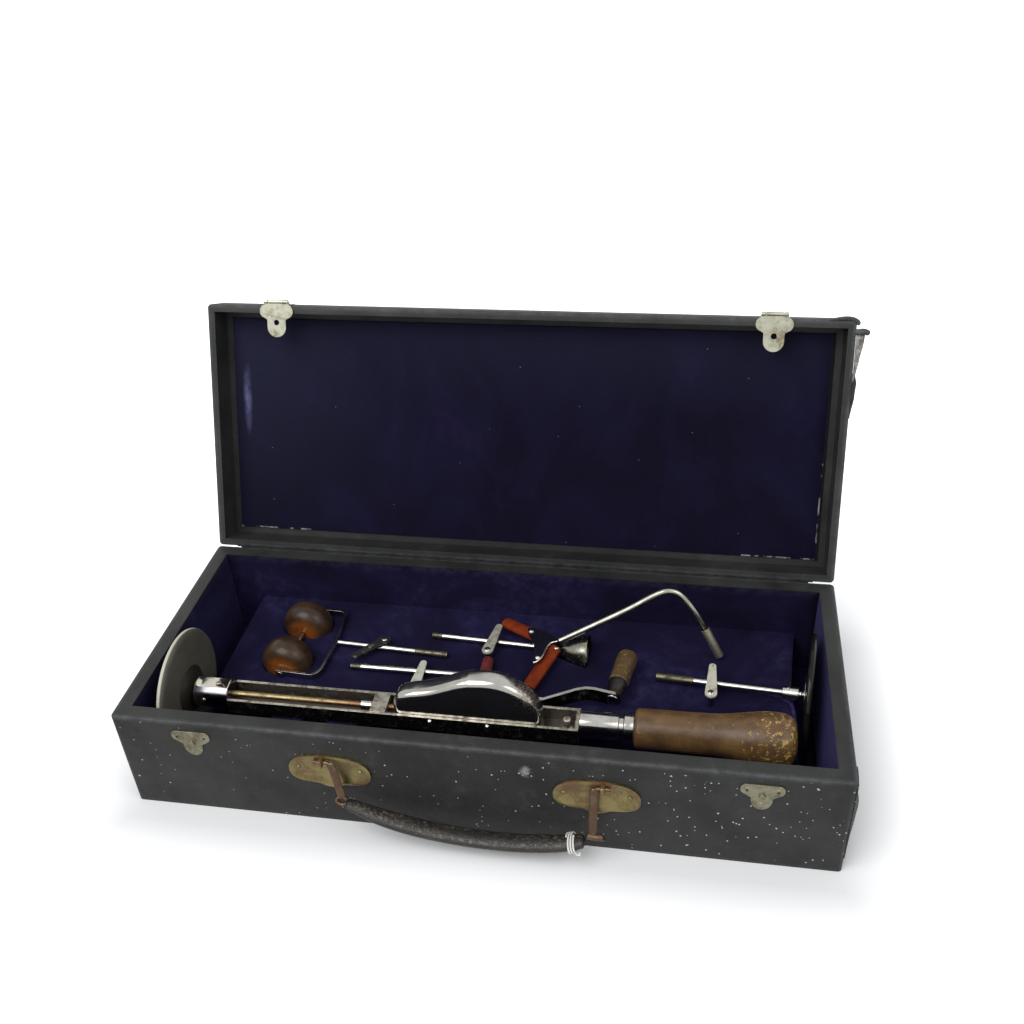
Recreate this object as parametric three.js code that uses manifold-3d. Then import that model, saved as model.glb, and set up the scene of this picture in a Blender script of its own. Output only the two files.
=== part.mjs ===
// A hand-cranked massage vibrator of about 1910 in its velvet-lined case, lid open, with its attachments.
// Millimetres, +Z up, +X to the right. The origin is the centre of the case's underside.
import * as THREE from 'three';
import { mergeVertices } from 'three/addons/utils/BufferGeometryUtils.js';
import Module from 'manifold-3d';

const wasm = await Module();
wasm.setup();

// Driving dimensions: clearances
const seatGap = 0.3;
const overlap = 0.2;
const runGap = 0.3;

// Case
const caseWidth = 480;
const caseDepth = 191;
const caseHeight = 82;
const caseCorner = 3;
const clothThick = 1;
const wallBoard = 9;
const velvetThick = 1;
const floorBoard = 5;

// Lid
const lidHeight = 26;
const lidSeam = 0.6;
const lidOpenDeg = 111.4;
const lidBoard = 3.1;
const lidPanelThick = 2.4;
const lidPadInset = 5;
const lidPadCrown = 1.2;
const flapWide = caseWidth - 30;
const flapThick = 0.8;

// Deck
const deckTop = 41;
const deckBoard = 6;
const deckLeft = 35 - caseWidth / 2;
const deckRight = caseWidth / 2 - 28;
const deckGap = 20.5;
const supportThick = 5;
const partitionThick = 2;
const rollerPocketWide = 48;
const cupPocketWide = 35;
const cupPocketDeep = 34;

// Fittings on the case's front
const catchX = caseWidth / 2 - 55;
const catchTop = caseHeight - 9;
const catchWide = 27;
const catchDrop = 17;
const fittingThick = 0.8;
const pinHead = 1.2;
const bossLong = 1.3;
const hingeLineY = -caseDepth - 3;
const hingeLineZ = -0.2;
const hingeRadius = 1.5;
const hingePin = 0.6;
const hingeBore = 0.9;
const haspReach = 26.5;
const haspThick = 1;

// Carry handle
const handlePlateX = [-92, 84];
const handlePlateZ = 49.7;
const handlePlateWide = 56;
const handleAxisY = -caseDepth / 2 - 3;
const handleAxisZ = handlePlateZ + 10.3;
const handleLeanDeg = 13;
const handleWire = 1.8;
const handleLug = 3;
const strapWide = 5.8;
const strapThick = 2.6;
const leatherThick = 9.5;
const leatherWide = 15;
const stringRadius = 0.8;
const stringTurns = 3;
const stringPitch = 2.3;

// Instrument: its axis, then places along it from the case's ends and sizes about it
const axisY = 57 - caseDepth / 2;
const axisZ = deckTop + 13;
const padRadius = 44;
const padThick = 4.7;
const padFront = 23 - caseWidth / 2;
const chuckRadius = 17;
const chuckFlange = 3.7;
const chuckStem = 3.7;
const chuckStemLong = 7;
const headFront = padFront + 9.5;
const headBack = headFront + 26.5;
const headRadius = 10.8;
const headHollow = 8;
const headWall = 3;
const gripLong = 105.5;
const gripRadius = 18.3;
const gripEnd = caseWidth / 2 - 30.5;
const ferruleTo = gripEnd - gripLong;
const ferruleFrom = ferruleTo - 37;
const ferruleRadius = 9;
const frameEnd = ferruleFrom - 6;
const gearX = frameEnd - 56;
const coverLeft = gearX - 66.5;
const bridgeTo = coverLeft - 5;
const bridgeFrom = bridgeTo - 11;
const railInner = 8.5;
const railThick = 2;
const railTop = 3.3;
const railBottom = -8.5;
const webThick = 1.6;
const shaftRadius = 2.4;
const collarLong = 8;
const collarRadius = 3.6;
const eccentricRadius = 5;
const eccentricThrow = 1;
const coverHalf = 8.3;
const coverWall = 1;
const coverRadius = 37.6;
const coverRim = 5.5;
const gearTeeth = 52;
const gearModule = 1.25;
const pinionTeeth = 12;
const gearFront = -6;
const gearThick = 4;
const axleRadius = 3;
const layRadius = 2;
const bevelGearTeeth = 36;
const bevelPinionTeeth = 10;
const bevelModule = 0.75;
const bevelFace = 3.4;
const crankNear = 14.5;
const crankCrest = 28.8;
const crankFar = 26.2;
const crankThick = 2.4;
const crankTall = 11.5;
const crankRadius = 82;
const knobLeanDeg = 9.5;
const knobRadius = 7.2;
const knobLong = 30;
const knobCollar = 14;
const spindleRadius = 2.5;

// Attachments
const rodRadius = 2.4;
const threadRadius = 2.05;
const rodZ = deckTop + rodRadius + seatGap;
const axleThin = 1.6;
const rollerRadius = 19;
const rollerShare = 0.3343;
const yokeStrip = 2;
const yokeTall = 5;
const cupRadius = 13.5;
const cupLong = 30;
const cupWall = 1.2;
const tipRadius = 4.2;
const tipClear = 0.65;
const rodThread = 7.8;
const stemThread = 25;
const buttonThick = 1.4;
const buttonLong = 28;
const buttonRoot = 4.25;
const buttonTip = 2.5;
const screwRadius = 1.4;
const forkTube = 2.5;
const forkPad = 5;
const forkFlat = 0.65;
const sleeveRadius = 4;
const discRadius = 43;
const discThick = 4.6;
const washerRadius = 15;

// Drops all but the positions, joins equal corners and turns the faces outward.
function weld(geometry) {
  const plain = geometry.index ? geometry.toNonIndexed() : geometry.clone();
  for (const name of Object.keys(plain.attributes)) {
    if (name !== 'position') plain.deleteAttribute(name);
  }
  const merged = mergeVertices(plain, 1e-4);
  const corners = [];
  for (let i = 0; i < merged.index.count; i += 3) {
    const [a, b, c] = [0, 1, 2].map((k) => merged.index.getX(i + k));
    if (a !== b && b !== c && c !== a) corners.push(a, b, c);
  }
  const point = (i) => new THREE.Vector3().fromBufferAttribute(merged.attributes.position, corners[i]);
  let volume = 0;
  for (let i = 0; i < corners.length; i += 3) {
    volume += point(i).dot(point(i + 1).cross(point(i + 2)));
  }
  if (volume < 0) corners.reverse();
  merged.setIndex(corners);
  return merged;
}

function solid(geometry) {
  const mesh = weld(geometry);
  return new wasm.Manifold(new wasm.Mesh({
    numProp: 3,
    vertProperties: new Float32Array(mesh.attributes.position.array),
    triVerts: new Uint32Array(mesh.index.array),
  }));
}

function geometryOf(body) {
  const mesh = body.getMesh();
  const geometry = new THREE.BufferGeometry();
  geometry.setAttribute('position', new THREE.BufferAttribute(new Float32Array(mesh.vertProperties), 3));
  geometry.setIndex(new THREE.BufferAttribute(new Uint32Array(mesh.triVerts), 1));
  return geometry;
}

function cut(body, ...tools) {
  return geometryOf(tools.reduce((rest, tool) => rest.subtract(solid(tool)), solid(body)));
}

function join(...bodies) {
  return geometryOf(bodies.slice(1).reduce((sum, body) => sum.add(solid(body)), solid(bodies[0])));
}

// A box from its low and high corners.
function block(x0, x1, y0, y1, z0, z1) {
  const box = new THREE.BoxGeometry(x1 - x0, y1 - y0, z1 - z0);
  return box.translate((x0 + x1) / 2, (y0 + y1) / 2, (z0 + z1) / 2);
}

function roundedRect(halfX, halfY, radius) {
  const shape = new THREE.Shape();
  shape.moveTo(halfX, radius - halfY);
  shape.absarc(halfX - radius, halfY - radius, radius, 0, Math.PI / 2);
  shape.absarc(radius - halfX, halfY - radius, radius, Math.PI / 2, Math.PI);
  shape.absarc(radius - halfX, radius - halfY, radius, Math.PI, Math.PI * 1.5);
  shape.absarc(halfX - radius, radius - halfY, radius, Math.PI * 1.5, Math.PI * 2);
  return shape;
}

// An outline in X and Y, standing from z0 to z1.
function prism(shape, z0, z1, curveSegments = 4) {
  const body = new THREE.ExtrudeGeometry(shape, { depth: z1 - z0, bevelEnabled: false, curveSegments });
  return body.translate(0, 0, z0);
}

// An outline in X and Z, reaching from y0 to y1.
function prismY(shape, y0, y1, curveSegments = 6) {
  return prism(shape, -y1, -y0, curveSegments).rotateX(Math.PI / 2);
}

// Turned bodies from [place along the axis, radius] pairs, about X and about Y.
function turnedX(profile, sides = 20) {
  const points = profile.map(([along, radius]) => new THREE.Vector2(radius, along));
  return new THREE.LatheGeometry(points, sides).rotateZ(-Math.PI / 2);
}

function turnedY(profile, sides = 20) {
  return new THREE.LatheGeometry(profile.map(([along, radius]) => new THREE.Vector2(radius, along)), sides);
}

function turnedZ(profile, sides = 20) {
  return turnedY(profile, sides).rotateX(Math.PI / 2);
}

function barX(radius, x0, x1, sides = 12) {
  return turnedX([[x0, 0], [x0, radius], [x1, radius], [x1, 0]], sides);
}

function barY(radius, y0, y1, sides = 12) {
  return turnedY([[y0, 0], [y0, radius], [y1, radius], [y1, 0]], sides);
}

function barZ(radius, z0, z1, sides = 12) {
  return barY(radius, z0, z1, sides).rotateX(Math.PI / 2);
}

// Turns a body made along +X so that it starts at one point and heads for another.
function aim(geometry, from, to) {
  const start = new THREE.Vector3(...from);
  const heading = new THREE.Vector3(...to).sub(start).normalize();
  geometry.applyQuaternion(new THREE.Quaternion().setFromUnitVectors(new THREE.Vector3(1, 0, 0), heading));
  return geometry.translate(...from);
}

function span(from, to) {
  return new THREE.Vector3(...from).distanceTo(new THREE.Vector3(...to));
}

function ovalShape(halfX, halfY, sides) {
  const points = [];
  for (let i = 0; i < sides; i += 1) {
    const turn = (i / sides) * Math.PI * 2;
    points.push(new THREE.Vector2(halfX * Math.cos(turn), halfY * Math.sin(turn)));
  }
  return new THREE.Shape(points);
}

function sweep(points, section, steps) {
  const path = new THREE.CatmullRomCurve3(points.map((p) => new THREE.Vector3(...p)), false, 'centripetal');
  return new THREE.ExtrudeGeometry(section, { steps, extrudePath: path, bevelEnabled: false });
}

const finishes = {
  leatherette: { color: 0x24262a, roughness: 0.75, metalness: 0 },
  velvet: { color: 0x1c1650, roughness: 1, metalness: 0 },
  board: { color: 0x9a7648, roughness: 0.85, metalness: 0 },
  cloth: { color: 0x2c2c2e, roughness: 0.95, metalness: 0 },
  nickel: { color: 0xcfcabc, roughness: 0.28, metalness: 1 },
  aged_nickel: { color: 0x9a8f74, roughness: 0.45, metalness: 1 },
  steel: { color: 0x8d8c88, roughness: 0.4, metalness: 1 },
  brass: { color: 0x9c6a3c, roughness: 0.4, metalness: 1 },
  brown_leather: { color: 0x8a4a24, roughness: 0.6, metalness: 0 },
  string: { color: 0xd9d4c6, roughness: 0.9, metalness: 0 },
  grip_brown: { color: 0x6e4420, roughness: 0.45, metalness: 0 },
  knob_wood: { color: 0x8e6a34, roughness: 0.6, metalness: 0 },
  roller_brown: { color: 0x6b3a1e, roughness: 0.3, metalness: 0 },
  red_rubber: { color: 0xa6401c, roughness: 0.65, metalness: 0 },
  ebonite: { color: 0x111212, roughness: 0.18, metalness: 0 },
  olive_rubber: { color: 0x55564a, roughness: 0.7, metalness: 0 },
};

const medicalSet = new THREE.Group();

function add(group, name, geometry, finish) {
  const mesh = new THREE.Mesh(weld(geometry), new THREE.MeshStandardMaterial(finishes[finish]));
  mesh.name = name;
  group.add(mesh);
  return mesh;
}

// Case: derived planes
const halfW = caseWidth / 2;
const halfD = caseDepth / 2;
const boardX = halfW - clothThick;
const boardY = halfD - clothThick;
const liningX = boardX - wallBoard;
const liningY = boardY - wallBoard;
const insideX = liningX - velvetThick;
const insideY = liningY - velvetThick;
const boardTop = caseHeight - clothThick;
const floorTop = clothThick + floorBoard + velvetThick;
const frontY = -halfD;
const deckFront = axisY + deckGap;

// Places over the deck: X from the case's left or right side, Y from the deck's front edge on a deck
// that is 102.5 deep, so that it spreads with the deck, and Z from the deck's top
const deckSpread = (insideY - deckFront) / 102.5;
const deckY = (y) => deckFront + y * deckSpread;
const fromLeft = (x, y, z = 0) => [x - halfW, deckY(y), deckTop + z];
const fromRight = (x, y, z = 0) => [halfW - x, deckY(y), deckTop + z];

function makeCase() {
  const outer = prism(roundedRect(halfW, halfD, caseCorner), clothThick, caseHeight);
  const cavity = block(-boardX, boardX, -boardY, boardY, 0, boardTop);
  const mouth = block(-insideX, insideX, -insideY, insideY, boardTop - 1, caseHeight + 1);
  const flap = block(-flapWide / 2, flapWide / 2, halfD - overlap, halfD + flapThick,
    caseHeight - 16, caseHeight - 2);
  add(medicalSet, 'base_covering', join(cut(outer, cavity, mouth), flap), 'leatherette');
  add(medicalSet, 'bottom_cloth', prism(roundedRect(halfW, halfD, caseCorner), 0, clothThick), 'cloth');

  const floor = block(-liningX, liningX, -liningY, liningY, clothThick, clothThick + floorBoard);
  add(medicalSet, 'bottom_board', floor, 'board');
  const walls = block(-boardX, boardX, -boardY, boardY, clothThick, boardTop);
  const room = block(-liningX, liningX, -liningY, liningY, 0, boardTop + 1);
  add(medicalSet, 'wall_boards', cut(walls, room), 'board');

  const sheet = block(-liningX, liningX, -liningY, liningY, clothThick + floorBoard, boardTop);
  const hollow = block(-insideX, insideX, -insideY, insideY, floorTop, caseHeight);
  add(medicalSet, 'case_lining', cut(sheet, hollow), 'velvet');
}
makeCase();

// Deck: a board on supports, covered in velvet, with a pocket for the rollers and one for the cup
const [cupMiddleX, cupMiddleY] = fromRight(189.5, 61);
const pockets = [
  [58 - halfW, 58 - halfW + rollerPocketWide, deckY(6), deckY(88)],
  [cupMiddleX - cupPocketWide / 2, cupMiddleX + cupPocketWide / 2,
    cupMiddleY - cupPocketDeep / 2, cupMiddleY + cupPocketDeep / 2],
];

function deckOutline() {
  const shape = new THREE.Shape();
  shape.moveTo(deckLeft, deckFront);
  shape.lineTo(deckRight, deckFront);
  shape.quadraticCurveTo(deckRight + 1, deckY(24), deckRight - 3, deckY(38));
  shape.lineTo(deckRight + 2, insideY);
  shape.lineTo(deckLeft, insideY);
  return shape;
}

const rod2From = fromLeft(131, 27.2, rodRadius + seatGap);
const rod2To = fromRight(252.5, 27.1, rodRadius + seatGap);
const buttons = [
  { screw: fromLeft(150, 54.4), towardDeg: -132.7, bottom: rodZ + rodRadius + seatGap },
  {
    screw: [(rod2From[0] + rod2To[0]) / 2 + 4.75, deckY(5.5)],
    towardDeg: 87.3,
    bottom: rodZ + rodRadius + seatGap,
  },
  { screw: fromRight(249.8, 49.9), towardDeg: 81.2, bottom: deckTop + 7.3 },
  { screw: fromRight(86.3, 19.4), towardDeg: 88.1, bottom: deckTop + 11.2 },
];

function makeDeck() {
  const velvetBottom = deckTop - velvetThick;
  const boardBottom = velvetBottom - deckBoard;
  const holes = (z0, z1) => buttons.map(({ screw }) => (
    barZ(screwRadius + runGap, z0, z1, 10).translate(screw[0], screw[1], 0)
  ));
  const board = prism(deckOutline(), boardBottom, velvetBottom, 6);
  const cuts = pockets.map((sides) => block(...sides, 0, deckTop + 1));
  add(medicalSet, 'deck_board', cut(board, ...cuts, ...holes(0, deckTop + 1)), 'board');
  const top = prism(deckOutline(), velvetBottom, deckTop, 6);
  const apronBack = deckFront - velvetThick;
  const apron = block(deckLeft, deckRight, apronBack, deckFront, floorTop, deckTop);
  const partitionLeft = deckRight - partitionThick;
  const partition = block(partitionLeft, deckRight, -insideY, apronBack + overlap, floorTop, deckTop);
  const cloth = join(top, apron, partition);
  add(medicalSet, 'deck_velvet', cut(cloth, ...cuts, ...holes(0, deckTop + 1)), 'velvet');

  const supports = [
    block(deckLeft, deckRight - 4, deckFront, deckFront + supportThick, floorTop, boardBottom),
    ...[deckLeft, halfW - 144, deckRight - 9].map((x) => (
      block(x, x + supportThick, deckFront + supportThick - overlap, insideY, floorTop, boardBottom)
    )),
  ];
  add(medicalSet, 'deck_supports', join(...supports), 'board');
}
makeDeck();

// A plank in the trough with blocks that carry the instrument: two under its rails, one hollowed
// for its grip
const seatWide = 28;
const railSeatLong = 22;
const gripSeatFrom = gripEnd - 33.5;
const gripSeatLong = 20;
const plankThick = 3;

function makeCradle() {
  const underRails = axisZ + railBottom - seatGap;
  const half = seatWide / 2;
  const railSeats = [headBack + 31, headBack + 71].map((x) => (
    block(x, x + railSeatLong, axisY - half, axisY + half, floorTop, underRails)
  ));
  const gripSeatTo = gripSeatFrom + gripSeatLong;
  const seat = block(gripSeatFrom, gripSeatTo, axisY - half - plankThick, axisY + half + plankThick,
    floorTop, axisZ - railInner);
  const groove = gripBody(seatGap).translate(0, axisY, axisZ);
  const plankTop = floorTop + plankThick;
  const plank = block(headBack + 31, gripSeatTo, axisY - half, axisY + half, floorTop, plankTop);
  add(medicalSet, 'cradle', join(plank, ...railSeats, cut(seat, groove)), 'velvet');
}

// The grip's profile: shares of its length from the ferrule, and of its radius
function gripBody(grow) {
  const profile = [
    [0, 0.628], [0.0142, 0.71], [0.0569, 0.738], [0.3886, 0.749], [0.5308, 0.781], [0.6445, 0.863],
    [0.7488, 0.956], [0.8436, 1], [0.9052, 0.989], [0.9526, 0.907], [0.9839, 0.738], [0.9981, 0.464],
  ];
  return turnedX([
    [ferruleTo, 0],
    ...profile.map(([along, out]) => [ferruleTo + along * gripLong, out * gripRadius + grow]),
    [gripEnd, 0],
  ], 24);
}
makeCradle();

// Front fittings: catch plates with their bosses, handle plates with their lugs, and the pins of both
function catchOutline() {
  const half = catchWide / 2;
  const wing = 3.4;
  const tongue = 6.6;
  const shape = new THREE.Shape();
  shape.moveTo(-half + wing, 0);
  shape.lineTo(half - wing, 0);
  shape.absarc(half - wing, -wing, wing, Math.PI / 2, -Math.PI / 3, true);
  shape.lineTo(tongue, -9);
  shape.absarc(0, tongue - catchDrop, tongue, 0, Math.PI, true);
  shape.lineTo(-tongue, -9);
  shape.absarc(wing - half, -wing, wing, Math.PI * 4 / 3, Math.PI / 2, true);
  return shape;
}

function handlePlateOutline() {
  const half = handlePlateWide / 2;
  const shape = new THREE.Shape();
  shape.moveTo(-14, 13);
  shape.quadraticCurveTo(0, 15.5, 14, 13);
  shape.quadraticCurveTo(half, 10, half, -1);
  shape.quadraticCurveTo(half, -11, 14, -11.5);
  shape.quadraticCurveTo(8, -11.5, 6.5, -13);
  shape.quadraticCurveTo(0, -16.5, -6.5, -13);
  shape.quadraticCurveTo(-8, -11.5, -14, -11.5);
  shape.quadraticCurveTo(-half, -11, -half, -1);
  shape.quadraticCurveTo(-half, 10, -14, 13);
  return shape;
}

function makeFrontFittings() {
  const faceY = frontY - fittingThick;
  const head = (x, z) => turnedY([[-0.6, 0], [-0.2, pinHead], [overlap, pinHead], [overlap, 0]], 8)
    .translate(x, faceY, z);

  for (const [name, x] of [['catch_left', -catchX], ['catch_right', catchX]]) {
    const plate = prismY(catchOutline(), faceY, frontY).translate(x, 0, catchTop);
    const boss = barY(2, faceY - bossLong, faceY + overlap, 12).translate(x, 0, catchTop - 8);
    const pins = [[-9.5, -3.4], [9.5, -3.4], [0, -13.2]].map(([dx, dz]) => head(x + dx, catchTop + dz));
    add(medicalSet, name, join(plate, boss, ...pins), 'aged_nickel');
  }

  ['handle_plate_left', 'handle_plate_right'].forEach((name, side) => {
    const x = handlePlateX[side];
    const inward = side === 0 ? 1 : -1;
    const lugX = x - inward * 4;
    const plate = prismY(handlePlateOutline(), faceY, frontY, 3).translate(x, 0, handlePlateZ);
    const lug = block(lugX - handleLug / 2, lugX + handleLug / 2, handleAxisY - 3.2, faceY + overlap,
      handleAxisZ - 3.2, handleAxisZ + 3.2);
    const eye = barX(handleWire + runGap, lugX - 5, lugX + 5, 12).translate(0, handleAxisY, handleAxisZ);
    const pins = [[-21, 2], [21, 2], [-9, -6], [9, -6], [0, -12.5]]
      .map(([dx, dz]) => head(x + dx, handlePlateZ + dz));
    add(medicalSet, name, cut(join(plate, lug, ...pins), eye), 'aged_nickel');
  });
}
makeFrontFittings();

// Lid, built closed about the hinge line, then opened
function makeLid() {
  const lid = new THREE.Group();
  lid.position.set(0, halfD, caseHeight);
  lid.rotation.x = -THREE.MathUtils.degToRad(lidOpenDeg);
  medicalSet.add(lid);

  const top = lidSeam + lidHeight;
  const skin = clothThick;
  const boardOut = skin + seatGap;
  const boardIn = boardOut + lidBoard;
  const wall = boardIn + seatGap + velvetThick;
  const centre = (geometry) => geometry.translate(0, -halfD, 0);

  const outer = prism(roundedRect(halfW, halfD, caseCorner), lidSeam, top);
  const cavity = block(skin - halfW, halfW - skin, skin - halfD, halfD - skin, lidSeam + skin, top - skin);
  const mouth = block(wall - halfW, halfW - wall, wall - halfD, halfD - wall, 0, lidSeam + skin + 1);
  const flap = block(-flapWide / 2, flapWide / 2, -overlap, flapThick, 2, 14);
  add(lid, 'lid_covering', join(centre(cut(outer, cavity, mouth)), flap), 'leatherette');

  const boardTopZ = top - skin - seatGap;
  const boardLow = lidSeam + skin + seatGap;
  const panelLow = boardTopZ - lidPanelThick;
  const [ringX, ringY] = [halfW - boardOut, halfD - boardOut];
  const ring = block(-ringX, ringX, -ringY, ringY, boardLow, boardTopZ);
  const inner = block(boardIn - halfW, halfW - boardIn, boardIn - halfD, halfD - boardIn, 0, top);
  add(lid, 'lid_frame', centre(cut(ring, inner)), 'board');

  const panelIn = boardIn + seatGap;
  const [panelX, panelY] = [halfW - panelIn, halfD - panelIn];
  const panel = block(-panelX, panelX, -panelY, panelY, panelLow, boardTopZ);
  add(lid, 'lid_panel', centre(panel), 'board');

  const stripTop = panelLow - seatGap;
  const strips = block(-panelX, panelX, -panelY, panelY, boardLow, stripTop);
  const space = block(wall - halfW, halfW - wall, wall - halfD, halfD - wall, 0, top);
  add(lid, 'lid_lining', centre(cut(strips, space)), 'leatherette');

  const padIn = wall + lidPadInset;
  add(lid, 'lid_pad', centre(padBody(halfW - padIn, halfD - padIn, stripTop)), 'velvet');

  const leafFront = -caseDepth - seatGap;
  for (const [end, x] of [['left', 1 - catchX], ['right', catchX - 1]]) {
    const plate = block(x - 10, x + 10, leafFront - fittingThick, leafFront, 2.2, 13);
    const knuckles = [-1, 1].flatMap((side) => {
      const near = x + side * 6.3;
      const far = x + side * 9.5;
      const [x0, x1] = [Math.min(near, far), Math.max(near, far)];
      const barrel = barX(hingeRadius, x0, x1, 12).translate(0, hingeLineY, hingeLineZ);
      const neck = block(x0, x1, hingeLineY, leafFront - 0.2, 0.3, 3);
      return [barrel, neck];
    });
    const pin = barX(hingePin, x - 9, x + 9, 10).translate(0, hingeLineY, hingeLineZ);
    add(lid, `hasp_leaf_${end}`, join(plate, ...knuckles, pin), 'aged_nickel');

    const hasp = new THREE.Group();
    hasp.position.set(x, hingeLineY, hingeLineZ);
    lid.add(hasp);
    add(hasp, `hasp_${end}`, haspBody(), 'nickel');
  }
}

// The padded panel's open face swells downward toward its middle.
function padBody(halfX, halfY, backZ) {
  const across = 10;
  const along = 6;
  const edgeThick = 1;
  const points = [];
  const faces = [];
  const at = (side, i, j) => side * (across + 1) * (along + 1) + j * (across + 1) + i;
  for (const side of [0, 1]) {
    for (let j = 0; j <= along; j += 1) {
      for (let i = 0; i <= across; i += 1) {
        const u = -Math.cos((i / across) * Math.PI);
        const v = -Math.cos((j / along) * Math.PI);
        const crown = lidPadCrown * Math.sqrt((1 - u ** 6) * (1 - v ** 6));
        points.push(u * halfX, v * halfY, backZ - seatGap - side * (edgeThick + crown));
      }
    }
  }
  const quad = (a, b, c, d) => faces.push(a, b, c, a, c, d);
  for (let j = 0; j < along; j += 1) {
    for (let i = 0; i < across; i += 1) {
      quad(at(0, i, j), at(0, i + 1, j), at(0, i + 1, j + 1), at(0, i, j + 1));
      quad(at(1, i, j), at(1, i, j + 1), at(1, i + 1, j + 1), at(1, i + 1, j));
    }
  }
  for (let i = 0; i < across; i += 1) {
    quad(at(0, i, 0), at(1, i, 0), at(1, i + 1, 0), at(0, i + 1, 0));
    quad(at(0, i + 1, along), at(1, i + 1, along), at(1, i, along), at(0, i, along));
  }
  for (let j = 0; j < along; j += 1) {
    quad(at(0, 0, j + 1), at(1, 0, j + 1), at(1, 0, j), at(0, 0, j));
    quad(at(0, across, j), at(1, across, j), at(1, across, j + 1), at(0, across, j + 1));
  }
  const pad = new THREE.BufferGeometry();
  pad.setAttribute('position', new THREE.Float32BufferAttribute(points, 3));
  pad.setIndex(faces);
  return pad;
}

function haspBody() {
  const wing = 5.2;
  const wingX = catchWide / 2 - wing - 0.4;
  const tongue = 7.3;
  const shape = new THREE.Shape();
  shape.moveTo(-wingX, 2);
  shape.lineTo(wingX, 2);
  shape.absarc(wingX, 2 + wing, wing, -Math.PI / 2, Math.PI / 2.4);
  shape.lineTo(tongue, 13.5);
  shape.absarc(0, haspReach - tongue, tongue, 0, Math.PI);
  shape.lineTo(-tongue, 13.5);
  shape.absarc(-wingX, 2 + wing, wing, Math.PI - Math.PI / 2.4, Math.PI * 1.5);
  const hole = new THREE.Path();
  hole.absarc(0, 15.5, 2.1, 0, Math.PI * 2);
  shape.holes.push(hole);
  const plate = prism(shape, -haspThick / 2, haspThick / 2, 6);
  const neck = block(-6, 6, 0, 2.4, -haspThick / 2, haspThick / 2);
  const barrel = barX(hingeRadius, -6, 6, 12);
  return cut(join(plate, neck, barrel), barX(hingeBore, -7, 7, 10));
}
makeLid();

// Carry handle, built hanging straight down (X across, -Z down) from its hinge line, then leant outward
function makeHandle() {
  const handle = new THREE.Group();
  handle.position.set(0, handleAxisY, handleAxisZ);
  handle.rotation.x = -THREE.MathUtils.degToRad(handleLeanDeg);
  medicalSet.add(handle);

  const wire = ovalShape(handleWire, handleWire, 8);
  const left = [
    [-101, 0, 0], [-94, 0, 0], [-90.6, 0, -0.6], [-88.4, 0, -4], [-86.3, 0, -12], [-84.2, 0, -21],
    [-81.9, 0, -27.6],
  ];
  const right = [
    [93, 0, 0], [86, 0, 0], [83.6, 0, -1], [82.7, 0, -5], [82.4, 0, -18], [82.2, 0, -32.6],
    [80.6, 0, -38.2],
  ];
  const strap = ovalShape(strapThick / 2, strapWide / 2, 8);
  const leftStrap = [[-88.4, 0, -4], [-86.3, 0, -12], [-83.2, 0, -24]];
  const rightStrap = [[82.7, 0, -5], [82.4, 0, -18], [82.2, 0, -32.6]];
  add(handle, 'handle_loop_left', join(sweep(left, wire, 16), sweep(leftStrap, strap, 8)), 'steel');
  add(handle, 'handle_loop_right', join(sweep(right, wire, 16), sweep(rightStrap, strap, 8)), 'steel');

  const route = [
    [-80.4, 0, -30.3], [-71, 0, -33.9], [-57.7, 0, -38.6], [-41, 0, -42.6], [-24, 0, -45.6],
    [-1, 0, -47.9], [22.5, 0, -48.5], [42, 0, -47.5], [62, 0, -45], [77.6, 0, -41.2],
  ];
  const section = ovalShape(leatherWide / 2, leatherThick / 2, 10);
  const leather = new THREE.ExtrudeGeometry(section, {
    steps: 18,
    extrudePath: new THREE.CatmullRomCurve3(route.map((p) => new THREE.Vector3(...p))),
    bevelEnabled: false,
  });
  add(handle, 'carry_handle', leather, 'brown_leather');
  add(handle, 'handle_string', stringBody(), 'string');
}

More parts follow.
